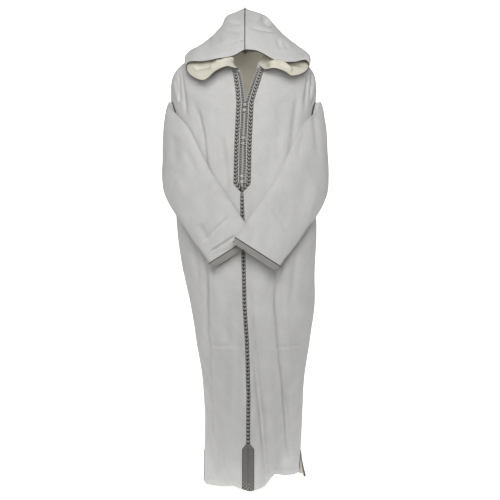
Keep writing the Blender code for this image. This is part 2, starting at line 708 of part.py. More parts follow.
def make_hood(body_tree):
    at = np.linspace(0, len(HOOD), 2 * len(HOOD) + 1)
    halves = {side: hood(side, at, body_tree) for side in (-1, 1)}
    for side, name in ((-1, "left"), (1, "right")):
        half = halves[side]
        shell("hood_" + name, face_out(half[::-1], side), CLOTH_FINISH, CLOTH)
        normals = face_out(grid_normals(face_out(half[::-1], side)), side)[::-1]
        edge = beyond_edge(half, normals, CORD_RADIUS + 2.5 * SEAM_GAP)[1:]
        # The last step stops short of the other half's cord, at the middle.
        room = edge[-2, 0] - side * (CORD_RADIUS + SEAM_GAP)
        share = min(room / (edge[-2] - edge[-1])[0], 0.8)
        edge[-1] = edge[-2] + (edge[-1] - edge[-2]) * share
        cord("hood_edge_cord_" + name, edge, BLACK_FINISH, CORD_RADIUS)
    seams = [np.concatenate([halves[s][-1], halves[s][-2:0:-1, -1]]) for s in (-1, 1)]
    seam = (seams[0] + seams[1]) / 2
    along = np.gradient(seam, axis=0)
    out = unit(np.stack([0 * along[:, 0], -along[:, 2], along[:, 1]], -1))
    line = seam + out * (CORD_RADIUS + SEAM_GAP)
    cord("hood_seam_cord", line, BLACK_FINISH, CORD_RADIUS)
    make_nape_ring()


def make_nape_ring():
    """The small worked ring on the inside of the neck seam, at its back."""
    turn = np.radians(np.linspace(8, 352, 13))
    ring = np.stack([np.cos(turn), 0 * turn, np.sin(turn)], -1) * NAPE_RING_RADIUS
    ring = ring + NAPE_SEAT - (0, NAPE_RING_OFFSET, 0)
    cord("nape_ring", ring, BLACK_FINISH, LOOP_RADIUS)


def clear_scene():
    for old in list(bpy.data.objects):
        bpy.data.objects.remove(old)


clear_scene()
PARTS = bpy.data.collections.new("djellaba")
bpy.context.scene.collection.children.link(PARTS)


# Braid sewn onto the panels
def rows_between(first, last):
    """The panels' rows from one section number to another."""
    sections = panel_sections()
    start, end = (int(np.abs(sections - at).argmin()) for at in (first, last))
    return slice(start, end + 1)


def raised_panel(panel, side):
    return face_out(moved_out(face_out(panel, side), SEAM_GAP), side)


def on_front(raised, distance, z):
    """Points on a raised front panel, by distance from its middle edge and height."""
    heights = raised[:, 0, 2]
    row = np.interp(-z, -heights, np.arange(len(heights)))
    spaces = front_distances(np.array([[z]]))[0]
    column = np.interp(distance, spaces, np.arange(len(spaces)))
    r, c = min(int(row), len(raised) - 2), min(int(column), len(spaces) - 2)
    down, across = row - r, column - c
    upper = raised[r, c] * (1 - across) + raised[r, c + 1] * across
    lower = raised[r + 1, c] * (1 - across) + raised[r + 1, c + 1] * across
    return upper * (1 - down) + lower * down


def make_placket(raised):
    """Beads beside the slit, and a broad braid outside them that turns in to a point."""
    first = section_at_front(PLACKET_SHOULDER_Z)
    rows = rows_between(PLACKET_TOP, first)
    width = FRONT_LINES[0].outer - FRONT_LINES[0].chevron
    for side, name in ((-1, "left"), (1, "right")):
        heights = raised[side][rows, 0, 2][:-1]
        lines = FRONT_LINES[0]
        slope = (PLACKET_SHOULDER_Z - PLACKET_END_Z) / lines.outer
        mitre = width * math.tan(math.atan(1 / slope) / 2)
        inner_top = PLACKET_SHOULDER_Z + mitre
        inner_end = PLACKET_END_Z + width * math.hypot(1, slope)
        ends = [
            (lines.chevron, inner_top, lines.outer, PLACKET_SHOULDER_Z),
            (lines.chevron / 2, (inner_top + inner_end) / 2,
             lines.outer / 2, (PLACKET_SHOULDER_Z + PLACKET_END_Z) / 2),
            (SEAM_GAP, inner_end, SEAM_GAP, PLACKET_END_Z),
        ]
        braid = [(lines.chevron, z, lines.outer, z) for z in heights] + ends
        slant = (inner_top - inner_end) / lines.chevron
        beads = [(lines.cord, z, lines.beads, z) for z in heights]
        low = [inner_end + d * slant + 2 * SEAM_GAP for d in (lines.cord, lines.beads)]
        beads.append((lines.cord, low[0], lines.beads, low[1]))
        for kind, edges, finish in (
            ("placket_beads_", beads, BLACK_FINISH),
            ("placket_braid_", braid, BRAID_FINISH),
        ):
            points = np.array(
                [
                    (on_front(raised[side], a, az), on_front(raised[side], b, bz))
                    for a, az, b, bz in edges
                ]
            )
            shell(kind + name, face_out(points, side), finish, BRAID, True)


def make_front_braid(raised):
    rows = rows_between(*section_at_front(np.array([PLACKET_END_Z, TAB_TOP_Z])))
    left, right = raised[-1][rows], raised[1][rows]
    strip = np.stack([left[:, 1], left[:, 0], right[:, 0], right[:, 1]], 1)
    strip[0] += (strip[1] - strip[0]) * 0.02
    shell("front_braid", strip, BRAID_FINISH, BRAID, True)


def make_tab(raised):
    """Cords side by side, from a narrow neck to the hem."""
    rows = rows_between(section_at_front(TAB_TOP_Z), HEM)
    across = np.linspace(-1, 1, 2 * TAB_RIBS + 1)
    grid = []
    for row in range(rows.start, rows.stop):
        z = raised[1][row, 0, 2]
        opened = np.clip((TAB_TOP_Z - z) / (TAB_TOP_Z - TAB_SHOULDER_Z), 0, 1)
        full = FRONT_LINES[-1].chevron
        half = TAB_TIP_WIDTH / 2 + (full - TAB_TIP_WIDTH / 2) * opened
        ribs = []
        for i, share in enumerate(across):
            panel = raised[1 if share > 0 else -1]
            point = on_front(panel, abs(share) * half, panel[row, 0, 2])
            ribs.append(point + np.array([0, -TAB_RIB_HEIGHT * (i % 2), 0]))
        grid.append(ribs)
    grid = np.array(grid)
    grid[0] += (grid[1] - grid[0]) * 0.06
    shell("hem_tab", grid, BRAID_FINISH, BRAID, True)


def make_edge_braids(raised, raised_back):
    """The braid round each armhole and down both edges of each side slit."""
    armhole = rows_between(ARMHOLE_TOP, UNDERARM)
    slit = rows_between(SLIT_TOP, HEM)
    for side, name in ((-1, "left"), (1, "right")):
        front = raised[side][:, ::-1][:, :2]
        back = raised_back[:, :2] if side > 0 else raised_back[:, :-3:-1]
        for panel, place, face in ((front, "front", -side), (back, "back", side)):
            inset = panel.copy()
            inset[:, 0] += (panel[:, 1] - panel[:, 0]) * 0.22
            ring = face_out(inset[armhole], face)
            label = place + "_" + name
            shell("armhole_braid_" + label, ring, BLACK_FINISH, BRAID, True)
            edge = face_out(inset[slit], face)
            shell("slit_braid_" + label, edge, BRAID_FINISH, BRAID, True)


# Buttons
def make_buttons(raised):
    """Pairs of knotted buttons down the slit, each in a loop from the right side."""
    for pair, height in enumerate(BUTTON_HEIGHTS, 1):
        for which, name in ((0.5, "upper"), (-0.5, "lower")):
            z = height + which * KNOT_SPACING
            seat = (on_front(raised[-1], 0.0, z) + on_front(raised[1], 0.0, z)) / 2
            label = "%d_%s" % (pair, name)
            centre = seat - np.array([0, KNOT_RADIUS + SEAM_GAP, 0])
            ball("knot_" + label, centre, KNOT_RADIUS, KNOT_FINISH)
            make_loop("loop_" + label, seat)


def make_loop(name, seat):
    lift = BRAID + SEAM_GAP + LOOP_RADIUS
    low = KNOT_RADIUS + SEAM_GAP - lift
    reach = math.sqrt(KNOT_RADIUS**2 - low**2) + LOOP_RADIUS + SEAM_GAP
    turn = np.radians(np.linspace(75, 285, 9))
    arc = np.stack([np.cos(turn), 0 * turn, np.sin(turn)], -1) * reach
    ends = np.array([(LOOP_REACH, 0, arc[0, 2] * 0.7), (LOOP_REACH, 0, -arc[0, 2] * 0.7)])
    path = np.concatenate([ends[:1], arc, ends[1:]]) + seat - (0, lift, 0)
    cord(name, path, KNOT_FINISH, LOOP_RADIUS, 0)


def ball(name, centre, radius, finish):
    mesh = bpy.data.meshes.new(name)
    made = bmesh.new()
    bmesh.ops.create_uvsphere(made, u_segments=8, v_segments=6, radius=radius)
    made.to_mesh(mesh)
    made.free()
    mesh.shade_smooth()
    add_object(name, mesh, finish).location = centre.tolist()


def main():
    tree_angle = np.arange(-180, 180, 4.0)
    tree_section = np.linspace(0, HEM, 90)[:, None]
    body_tree = surface_tree(body(tree_section, tree_angle[None, :]), True)
    fronts = {side: front_panel(side) for side in (-1, 1)}
    back = back_panel()
    make_panels(fronts, back)
    raised = {side: raised_panel(fronts[side], side) for side in (-1, 1)}
    make_placket(raised)
    make_front_braid(raised)
    make_tab(raised)
    make_edge_braids(raised, raised_panel(back, 1))
    make_buttons(raised)
    make_sleeves(body_tree)
    make_hood(body_tree)


main()
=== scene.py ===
"""The looks of the djellaba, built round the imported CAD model: woven cloth with its
creases and stitching, plaited braids, knotted buttons and the worked tab at the hem.

Metres, +Z up. The front faces -Y. Left and right are the viewer's, facing the front.
The tables and the formulas of the surfaces are those of the CAD model.
"""

import math
from collections import namedtuple

import bpy
import numpy as np
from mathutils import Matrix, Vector, noise
from mathutils.bvhtree import BVHTree


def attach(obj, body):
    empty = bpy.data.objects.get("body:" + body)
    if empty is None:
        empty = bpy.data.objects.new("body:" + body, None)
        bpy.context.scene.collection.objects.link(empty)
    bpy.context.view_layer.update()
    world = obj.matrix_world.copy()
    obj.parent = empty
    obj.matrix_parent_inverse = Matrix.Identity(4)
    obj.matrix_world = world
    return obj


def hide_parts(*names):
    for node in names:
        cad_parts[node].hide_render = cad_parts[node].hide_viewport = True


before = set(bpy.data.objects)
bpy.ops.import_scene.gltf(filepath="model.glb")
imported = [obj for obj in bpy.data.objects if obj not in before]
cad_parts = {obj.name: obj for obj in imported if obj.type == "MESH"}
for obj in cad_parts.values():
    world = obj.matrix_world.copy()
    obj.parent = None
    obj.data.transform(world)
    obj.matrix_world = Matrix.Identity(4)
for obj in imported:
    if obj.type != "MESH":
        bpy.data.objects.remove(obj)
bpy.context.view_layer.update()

# Sizes that the CAD model has too
CLOTH = 0.0016  # wall of the woven cloth
SEAM_GAP = 0.0004  # between pieces that meet at a seam, or lie on each other
PLACKET_SHOULDER_Z = -0.417  # where the placket's braid turns in to its point
PLACKET_END_Z = -0.446
TAB_TOP_Z = -1.254
TAB_SHOULDER_Z = -1.271
TAB_TIP_WIDTH = 0.012
CUFF_BRAID_WIDTH = 0.019
SIDE_BAND_ANGLE = 3.4  # the braid round the armholes and the side slits
CORD_RADIUS = 0.0015  # the cord round the face opening and along the hood's seam
KNOT_RADIUS = 0.0042  # knotted buttons of the placket
KNOT_SPACING = 0.018  # between the two buttons of a pair
BUTTON_HEIGHTS = (-0.169, -0.277, -0.400)
NAPE_RING_RADIUS = 0.0040
NAPE_RING_OFFSET = 0.0014
NAPE_SEAT = (0.0, 0.0664, 0.044)  # on the inside of the neck seam, at the back

# Sizes of the detail that is added here
RIBBON = 0.0005  # the ribbon that a braid's threads lie on
THREAD_SIDES = 6

# The body of the robe, from the neck seam to the hem. Each section is a rounded ring:
# how far it reaches left, right, front and back of the origin, and the height of its
# sides, its front and its back. Squareness 2 is an ellipse.
Section = namedtuple(
    "Section", "name z_side z_front z_back left right front back squareness"
)
BODY = (
    Section("neck", 0.042, -0.045, 0.046, 0.078, 0.078, 0.100, 0.068, 2.0),
    Section("shoulder inner", 0.027, -0.062, 0.022, 0.133, 0.133, 0.108, 0.084, 2.05),
    Section("shoulder outer", 0.003, -0.083, -0.014, 0.190, 0.192, 0.114, 0.101, 2.15),
    Section("shoulder tip", -0.028, -0.103, -0.056, 0.227, 0.228, 0.118, 0.113, 2.25),
    Section("upper arm", -0.070, -0.122, -0.096, 0.245, 0.241, 0.121, 0.119, 2.3),
    Section("armhole top", -0.140, -0.145, -0.142, 0.246, 0.238, 0.124, 0.124, 2.35),
    Section("armhole middle", -0.270, -0.270, -0.270, 0.240, 0.238, 0.127, 0.126, 2.4),
    Section("underarm", -0.405, -0.405, -0.405, 0.236, 0.240, 0.129, 0.121, 2.4),
    Section("waist", -0.560, -0.560, -0.560, 0.226, 0.242, 0.129, 0.117, 2.35),
    Section("hip", -0.693, -0.693, -0.693, 0.206, 0.236, 0.131, 0.127, 2.3),
    Section("thigh", -0.812, -0.812, -0.812, 0.180, 0.234, 0.133, 0.132, 2.3),
    Section("knee", -0.930, -0.930, -0.930, 0.164, 0.219, 0.134, 0.132, 2.3),
    Section("calf", -1.050, -1.050, -1.050, 0.146, 0.201, 0.134, 0.130, 2.3),
    Section("shin", -1.160, -1.160, -1.160, 0.137, 0.194, 0.135, 0.129, 2.3),
    Section("slit top", -1.300, -1.300, -1.300, 0.135, 0.187, 0.136, 0.129, 2.3),
    Section("hem", -1.378, -1.378, -1.378, 0.134, 0.184, 0.138, 0.130, 2.3),
)
ARMHOLE_TOP = 5
UNDERARM = 7
SLIT_TOP = 14
HEM = len(BODY) - 1
SIDE_SEAM_ANGLE = {
    -1: (90, 90, 90, 89, 86, 80, 80, 86, 89, 90, 90, 90, 91, 94, 98, 99),
    1: (90, 90, 90, 89, 86, 80, 80, 86, 89, 90, 90, 90, 90, 90, 90, 90),
}
ARMHOLE_HALF_ANGLE = 15.0
SLIT_HALF_ANGLE = 3.5
HEM_LINE = (  # angle round the body, height
    (-180, -1.385),
    (-135, -1.398),
    (-90, -1.405),
    (-45, -1.395),
    (-22, -1.392),
    (-8, -1.402),
    (-2, -1.407),
    (4, -1.400),
    (12, -1.391),
    (19, -1.364),
    (24, -1.355),
    (45, -1.367),
    (66, -1.366),
    (84, -1.361),
    (90, -1.355),
    (91, -1.388),
    (110, -1.386),
    (135, -1.378),
    (180, -1.385),
)
TAIL = (  # angle, how far the back panel's corner swings out there and forward
    (92, 0.0100, 0.0260),
    (97, 0.0200, 0.0160),
    (106, 0.0120, 0.0060),
    (116, 0, 0),
)
FOLD_RADIUS = 0.18  # the body's mean radius, which turns a fold's width into an angle

# Folds in the body, ridges with a depth over zero and troughs under it. Each runs from
# (x_top, z_top) to (x_bottom, z_bottom) and fades in and out over its fade.
Fold = namedtuple("Fold", "side x_top z_top x_bottom z_bottom width depth fade")
FOLDS = (
    Fold("front", -0.213, 0.00, -0.192, -0.20, 0.0080, -0.0080, 0.05),
    Fold("front", 0.212, -0.01, 0.196, -0.18, 0.0080, -0.0070, 0.05),
    Fold("front", -0.166, -0.12, -0.118, -0.46, 0.0110, -0.0070, 0.08),
    Fold("front", 0.176, -0.10, 0.132, -0.46, 0.0110, -0.0060, 0.08),
    Fold("front", -0.090, -0.18, -0.058, -0.62, 0.0160, -0.0050, 0.12),
    Fold("front", 0.088, -0.20, 0.062, -0.58, 0.0160, -0.0045, 0.12),
    Fold("front", -0.133, -0.58, -0.104, -1.30, 0.0110, -0.0110, 0.10),
    Fold("front", -0.085, -0.66, -0.078, -1.60, 0.0330, 0.0080, 0.20),
    Fold("front", -0.042, -0.70, -0.034, -1.60, 0.0200, -0.0080, 0.20),
    Fold("front", 0.032, -0.60, 0.042, -1.60, 0.0180, 0.0070, 0.20),
    Fold("front", 0.034, -0.86, 0.074, -1.45, 0.0100, -0.0150, 0.30),
    Fold("front", 0.062, -0.66, 0.098, -1.60, 0.0180, 0.0060, 0.20),
    Fold("front", 0.094, -0.58, 0.160, -1.34, 0.0120, -0.0130, 0.12),
    Fold("front", 0.128, -0.95, 0.135, -1.70, 0.0500, -0.0260, 0.40),
    Fold("back", -0.120, -0.30, -0.100, -1.60, 0.0220, -0.0120, 0.30),
    Fold("back", -0.070, -0.50, -0.048, -1.60, 0.0240, 0.0110, 0.30),
    Fold("back", -0.018, -0.16, 0.004, -1.60, 0.0200, -0.0120, 0.30),
    Fold("back", 0.045, -0.50, 0.052, -1.60, 0.0240, 0.0120, 0.30),
    Fold("back", 0.105, -0.26, 0.100, -1.60, 0.0200, -0.0120, 0.30),
    Fold("back", 0.150, -0.60, 0.148, -1.60, 0.0220, 0.0100, 0.30),
)

# The middle of the front, which leans a little, and the open neck slit above it.
CENTRE_LINE = (
    (-0.148, 0.001),
    (-0.290, -0.006),
    (-0.437, -0.0095),
    (-0.650, -0.0045),
    (-0.812, 0.0),
    (-0.930, 0.007),
    (-1.100, 0.0120),
    (-1.378, 0.0105),
)
NECK_SLIT = (  # height, left edge, right edge
    (-0.045, -0.0165, 0.0420),
    (-0.075, -0.0080, 0.0270),
    (-0.105, -0.0035, 0.0160),
    (-0.130, -0.0010, 0.0075),
    (-0.150, 0.0002, 0.0018),
)

# Seams and braid edges beside the middle of the front, as distances from it
FrontLine = namedtuple("FrontLine", "z cord beads chevron outer")
FRONT_LINES = (
    FrontLine(-0.045, 0.0035, 0.0105, 0.0140, 0.0270),
    FrontLine(-0.446, 0.0035, 0.0105, 0.0140, 0.0275),
    FrontLine(-0.500, 0.0058, 0.0115, 0.0190, 0.0300),
    FrontLine(-1.378, 0.0055, 0.0115, 0.0190, 0.0300),
)

# The sleeve on the left, from the armhole to the cuff. A flat tube between its top
# crease and its underarm seam; out is the side that faces away from the robe.
Flat = namedtuple("Flat", "name crease seam out half_thickness roundness")
SLEEVE = (
    Flat("turn", (-0.252, -0.030, -0.140), (-0.254, -0.014, -0.408),
         (-0.45, 0.88, 0), 0.0300, 2.3),
    Flat("side", (-0.245, -0.063, -0.162), (-0.261, -0.034, -0.430),
         (-0.75, 0.62, 0), 0.0270, 2.8),
    Flat("fold", (-0.216, -0.098, -0.197), (-0.252, -0.066, -0.466),
         (-0.96, 0.10, 0), 0.0210, 3.4),
    Flat("upper front", (-0.178, -0.122, -0.243), (-0.227, -0.096, -0.512),
         (-0.80, -0.58, 0), 0.0150, 4.5),
    Flat("front", (-0.148, -0.137, -0.305), (-0.199, -0.119, -0.553),
         (-0.45, -0.88, 0), 0.0120, 5.5),
    Flat("elbow", (-0.1045, -0.145, -0.387), (-0.171, -0.134, -0.592),
         (-0.22, -0.97, 0), 0.0105, 6.0),
    Flat("forearm", (-0.066, -0.149, -0.447), (-0.149, -0.142, -0.622),
         (-0.12, -0.99, 0), 0.0100, 6.0),
    Flat("wrist", (-0.030, -0.150, -0.500), (-0.130, -0.146, -0.648),
         (-0.05, -1.0, 0), 0.0100, 6.0),
    Flat("cuff start", (0.005, -0.150, -0.552), (-0.115, -0.149, -0.669),
         (0, -1.0, 0), 0.0105, 5.5),
    Flat("cuff", (0.0378, -0.151, -0.598), (-0.102, -0.151, -0.687),
         (0, -1.0, 0), 0.0115, 5.0),
)
# How the right sleeve differs: it is lower at the cuff, fuller outside, and lies over
# the left one.
RIGHT_SLEEVE_LIFT = (0, 0, 0, 0, 0, 0.001, 0.006, 0.016, 0.028, 0.030)
RIGHT_SLEEVE_DROP = (0, 0, 0, 0, 0.003, 0.005, 0.007, 0.008, 0.009, 0.009)
RIGHT_SLEEVE_SPREAD = (0, 0.004, 0.008, 0.010, 0.006, 0.004, 0.002, 0, 0, 0)
SLEEVE_CLEARANCE = 0.0045

# The left half of the hood. Each rib runs from the face opening's edge over the side
# of the hood to the seam at its back. The right half has its own edge, with the same
# roll beside it, and the rest is the left half mirrored, with x times spread.
Rib = namedtuple("Rib", "name edge edge_right roll cheek side nape seam spread")
HOOD = (
    Rib("throat", (-0.031, -0.122, -0.043), (0.066, -0.122, -0.046),
        (-0.040, -0.110, -0.030), (-0.071, -0.072, 0.010), (-0.089, -0.006, 0.054),
        (-0.062, 0.050, 0.060), (0.0, 0.077, 0.058), 1.05),
    Rib("crest", (-0.058, -0.142, -0.039), (0.092, -0.140, -0.045),
        (-0.061, -0.128, -0.019), (-0.081, -0.085, 0.012), (-0.099, -0.010, 0.060),
        (-0.067, 0.056, 0.072), (0.0, 0.085, 0.072), 1.16),
    Rib("fall", (-0.093, -0.150, -0.0565), (0.126, -0.148, -0.056),
        (-0.092, -0.136, -0.046), (-0.108, -0.092, -0.010), (-0.122, -0.014, 0.040),
        (-0.078, 0.064, 0.076), (0.0, 0.092, 0.086), 1.22),
    Rib("trough", (-0.128, -0.148, -0.086), (0.152, -0.140, -0.070),
        (-0.126, -0.136, -0.080), (-0.144, -0.094, -0.030), (-0.152, -0.012, 0.036),
        (-0.086, 0.072, 0.084), (0.0, 0.097, 0.100), 1.12),
    Rib("under wing", (-0.177, -0.112, -0.062), (0.190, -0.112, -0.056),
        (-0.177, -0.098, -0.050), (-0.186, -0.060, -0.008), (-0.178, 0.000, 0.034),
        (-0.094, 0.078, 0.090), (0.0, 0.100, 0.112), 1.07),
    Rib("wing tip", (-0.194, -0.088, -0.029), (0.2115, -0.088, -0.031),
        (-0.198, -0.072, -0.014), (-0.198, -0.040, 0.012), (-0.178, 0.010, 0.042),
        (-0.097, 0.080, 0.098), (0.0, 0.102, 0.121), 1.07),
    Rib("over wing", (-0.178, -0.092, -0.013), (0.199, -0.092, -0.009),
        (-0.184, -0.076, 0.002), (-0.184, -0.045, 0.026), (-0.167, 0.008, 0.050),
        (-0.097, 0.079, 0.105), (0.0, 0.102, 0.131), 1.10),
    Rib("wing brow", (-0.138, -0.108, -0.016), (0.157, -0.110, -0.019),
        (-0.144, -0.098, 0.002), (-0.152, -0.062, 0.038), (-0.146, 0.000, 0.060),
        (-0.090, 0.070, 0.114), (0.0, 0.099, 0.143), 1.15),
    Rib("brow", (-0.091, -0.126, -0.012), (0.101, -0.130, -0.017),
        (-0.096, -0.118, 0.008), (-0.110, -0.078, 0.056), (-0.112, -0.010, 0.084),
        (-0.074, 0.054, 0.128), (0.0, 0.090, 0.156), 1.22),
    Rib("temple", (-0.039, -0.132, -0.003), (0.0585, -0.134, 0.0045),
        (-0.042, -0.126, 0.018), (-0.062, -0.088, 0.082), (-0.079, -0.022, 0.114),
        (-0.056, 0.036, 0.146), (0.0, 0.076, 0.168), 1.30),
    Rib("forehead", (-0.0135, -0.131, 0.0105), (0.034, -0.132, 0.0150),
        (-0.016, -0.126, 0.032), (-0.034, -0.090, 0.100), (-0.061, -0.030, 0.146),
        (-0.036, 0.018, 0.166), (0.0, 0.056, 0.178), 1.12),
    Rib("ridge", (0.0, -0.129, 0.018), (0.0, -0.129, 0.018),
        (0.0, -0.124, 0.044), (0.0, -0.098, 0.104), (0.0, -0.050, 0.158),
        (0.0, -0.010, 0.180), (0.0, 0.026, 0.185), 1.0),
)
HOOD_CLEARANCE = 0.002
NECK_MARKS = {  # where a rib's roll, cheek, side, nape and seam meet the neck seam
    -1: (28, 52, 88, 130, 180),
    1: (44, 60, 90, 131, 180),
}
BESIDE = 0.001  # a point further than this past a surface's edge isn't over it


def spline(rows, at):
    """A smooth curve through the rows of a table; at counts the rows from 0."""
    rows = np.asarray(rows, float)
    last = len(rows) - 1
    at = np.clip(np.asarray(at, float), 0, last)
    i = np.minimum(at.astype(int), last - 1)
    f = (at - i)[(...,) + (None,) * (rows.ndim - 1)]
    before, a = rows[np.maximum(i - 1, 0)], rows[i]
    b, after = rows[i + 1], rows[np.minimum(i + 2, last)]
    return 0.5 * (
        2 * a
        + (b - before) * f
        + (2 * before - 5 * a + 4 * b - after) * f**2
        + (3 * a - before - 3 * b + after) * f**3
    )


def smooth_step(t):
    t = np.clip(t, 0, 1)
    return t * t * (3 - 2 * t)


def unit(vectors):
    return vectors / np.maximum(np.linalg.norm(vectors, axis=-1, keepdims=True), 1e-12)


# The body's surface, in section number and angle: 0 is the front, -90 the left side,
# 90 the right side and 180 the back.
BODY_ROWS = np.array([row[1:] for row in BODY])
DENSE = np.linspace(0, HEM, 600)
DENSE_ROWS = spline(BODY_ROWS, DENSE)


def section_at_front(z):
    return np.interp(-np.asarray(z), -DENSE_ROWS[:, 1], DENSE)


def front_angle(x, section):
    """The angle of the body's front point at that x, in degrees."""
    rows = spline(BODY_ROWS, section)
    left, right, square = rows[..., 3], rows[..., 4], rows[..., 7]
    share = np.clip((x - (right - left) / 2) / ((right + left) / 2), -1, 1)
    return np.degrees(np.arcsin(np.sign(share) * np.abs(share) ** (square / 2)))


def fold_height(section, angle):
    """How far the folds move the body's surface out at that place."""
    z = spline(BODY_ROWS, section)[..., 0]
    total = np.zeros(np.broadcast(section, angle).shape)
    for fold in FOLDS:
        along = np.clip((fold.z_top - z) / (fold.z_top - fold.z_bottom), 0, 1)
        x = fold.x_top + (fold.x_bottom - fold.x_top) * along
        at = front_angle(x, section)
        if fold.side == "back":
            at = 180 - at
        off = np.radians((angle - at + 180) % 360 - 180) * FOLD_RADIUS / fold.width
        shown = smooth_step((fold.z_top - z) / fold.fade)
        shown = shown * smooth_step((z - fold.z_bottom) / fold.fade)
        total = total + fold.depth * shown * np.exp(-(off**2))
    return total


def body(section, angle):
    """Points on the outside of the robe's body."""
    section, angle = np.broadcast_arrays(
        np.asarray(section, float), np.asarray(angle, float)
    )
    rows = spline(BODY_ROWS, section)
    z_side, z_front, z_back, left, right, front, back, square = np.moveaxis(rows, -1, 0)
    s, c = np.sin(np.radians(angle)), np.cos(np.radians(angle))
    reach, depth = (left + right) / 2, np.where(c > 0, front, back)
    x = (right - left) / 2 + reach * np.sign(s) * np.abs(s) ** (2 / square)
    y = -depth * np.sign(c) * np.abs(c) ** (2 / square)
    z = z_side * s**2 + np.where(c > 0, z_front, z_back) * c**2
    hem = np.interp((angle + 180) % 360 - 180, *zip(*HEM_LINE))
    top = BODY[SLIT_TOP].z_side
    below = top + (hem - top) * (section - SLIT_TOP) / (HEM - SLIT_TOP)
    z = np.where(section > SLIT_TOP, below, z)
    lean = 2 * (square - 1) / square
    out = np.stack(
        [
            np.sign(s) * np.abs(s) ** lean / reach,
            -np.sign(c) * np.abs(c) ** lean / depth,
            np.zeros_like(s),
        ],
        -1,
    )
    return np.stack([x, y, z], -1) + unit(out) * fold_height(section, angle)[..., None]


def body_normal(section, angle):
    step_down, step_round = 0.02, 0.5
    down = body(section + step_down, angle) - body(section - step_down, angle)
    around = body(section, angle + step_round) - body(section, angle - step_round)
    return unit(np.cross(down, around))


def body_moved_out(section, angle, by):
    return body(section, angle) + body_normal(section, angle) * by


def centre_x(z):
    heights, xs = zip(*CENTRE_LINE)
    return np.interp(-np.asarray(z), [-h for h in heights], xs)


def slit_edge(z, side):
    """x of the front edge of the left (-1) or right (1) front panel."""
    heights, lefts, rights = zip(*NECK_SLIT)
    edges = lefts if side < 0 else rights
    open_x = np.interp(-np.asarray(z), [-h for h in heights], edges)
    closed_x = centre_x(z) + side * SEAM_GAP / 2
    return np.where(np.asarray(z) > heights[-1], open_x, closed_x)


def armhole_opening(section):
    """Half the armhole's width there, in degrees."""
    along = np.clip((section - ARMHOLE_TOP) / (UNDERARM - ARMHOLE_TOP), 0, 1)
    return ARMHOLE_HALF_ANGLE * np.sin(np.pi * along) ** 0.6


def side_opening(section, side):
    """Half the gap between the front and back panels at the side, in degrees."""
    middle = side * side_seam(section, side)
    seam = np.full(np.shape(section), 0.05)
    for _ in range(5):
        apart = body(section, middle + seam) - body(section, middle - seam)
        seam = seam * SEAM_GAP / np.linalg.norm(apart, axis=-1)
    slit = SLIT_HALF_ANGLE * smooth_step((section - SLIT_TOP) / (HEM - SLIT_TOP))
    return seam + armhole_opening(section) + slit


def side_seam(section, side):
    return spline(np.array(SIDE_SEAM_ANGLE[side], float)[:, None], section)[..., 0]


def tail(section, angle):
    """How far the back panel's corner swings out beside the right slit."""
    low = np.clip((section - SLIT_TOP) / (HEM - SLIT_TOP), 0, 1)
    angles, outs, forwards = zip(*TAIL)
    x, y = np.interp(angle, angles, outs), -np.interp(angle, angles, forwards)
    return np.stack([x * low, y * low, 0 * low * x], -1)


def keep_clear(points, tree, gap):
    """The points, with any that are nearer to the surface than gap moved off it."""
    moved = points.reshape(-1, 3).copy()
    gaps = np.broadcast_to(gap, points.shape[:-1]).reshape(-1)
    for i, point in enumerate(moved):
        place, normal, _, _ = tree.find_nearest(Vector(point))
        off = Vector(point) - place
        short = gaps[i] - off.dot(normal)
        beside = (off - normal * off.dot(normal)).length
        if short > 0 and beside < BESIDE:
            moved[i] += np.array(normal) * short
    return moved.reshape(points.shape)


def grid_faces(rows, columns, closed):
    """Quads of a grid of points; closed joins its last column to its first."""
    faces = []
    for r in range(rows - 1):
        for c in range(columns if closed else columns - 1):
            d = (c + 1) % columns
            first, second = r * columns, (r + 1) * columns
            faces.append((first + c, second + c, second + d, first + d))
    return faces


def surface_tree(points, closed):
    rows, columns = points.shape[:2]
    corners = [Vector(p) for p in points.reshape(-1, 3)]
    return BVHTree.FromPolygons(corners, grid_faces(rows, columns, closed))


def face_out(points, side):
    """The grid with its columns in the order that turns its faces outward."""
    return points if side > 0 else points[:, ::-1]


def grid_normals(points, closed=False):
    """Outward normals at a grid's points, from the faces round each."""
    wide = np.concatenate([points, points[:, :1]], 1) if closed else points
    across = wide[1:, 1:] - wide[:-1, :-1]
    other = wide[1:, :-1] - wide[:-1, 1:]
    faces = unit(np.cross(other, across))
    total = np.zeros(wide.shape)
    for rows in (slice(0, -1), slice(1, None)):
        for columns in (slice(0, -1), slice(1, None)):
            total[rows, columns] += faces
    if closed:
        total[:, 0] += total[:, -1]
        total = total[:, :-1]
    return unit(total)


def armhole_ring(side, spread):
    """The sleeve's first ring, on the armhole; spread goes 1 to -1, top to bottom."""
    along = (1 - spread["across"]) / 2
    section = ARMHOLE_TOP + (UNDERARM - ARMHOLE_TOP) * along
    angle = side_seam(section, side) + spread["layer"] * armhole_opening(section)
    return body_moved_out(section, side * angle, SEAM_GAP)


def ring_spread(count):
    """Places round a sleeve ring: crease, outer layer, seam, inner layer."""
    turn = np.arange(count) / count * 2 * np.pi
    return {"across": np.cos(turn), "layer": np.where(turn <= np.pi, 1.0, -1.0)}


def flat_ring(side, index, spread):
    flat = SLEEVE[index]
    crease, seam = np.array(flat.crease), np.array(flat.seam)
    if side > 0:
        crease, seam = crease * (-1, 1, 1), seam * (-1, 1, 1)
        change = (
            -RIGHT_SLEEVE_LIFT[index],
            -RIGHT_SLEEVE_DROP[index],
        )
        crease = crease + (0, *change)
        seam = seam + (RIGHT_SLEEVE_SPREAD[index], *change)
    out = unit(np.array(flat.out, float)) * (-side, 1, 1)
    across = spread["across"][:, None]
    height = (1 - np.abs(across) ** flat.roundness) ** 0.5 * spread["layer"][:, None]
    middle, half = (crease + seam) / 2, (crease - seam) / 2
    return middle + half * across + out * height * flat.half_thickness


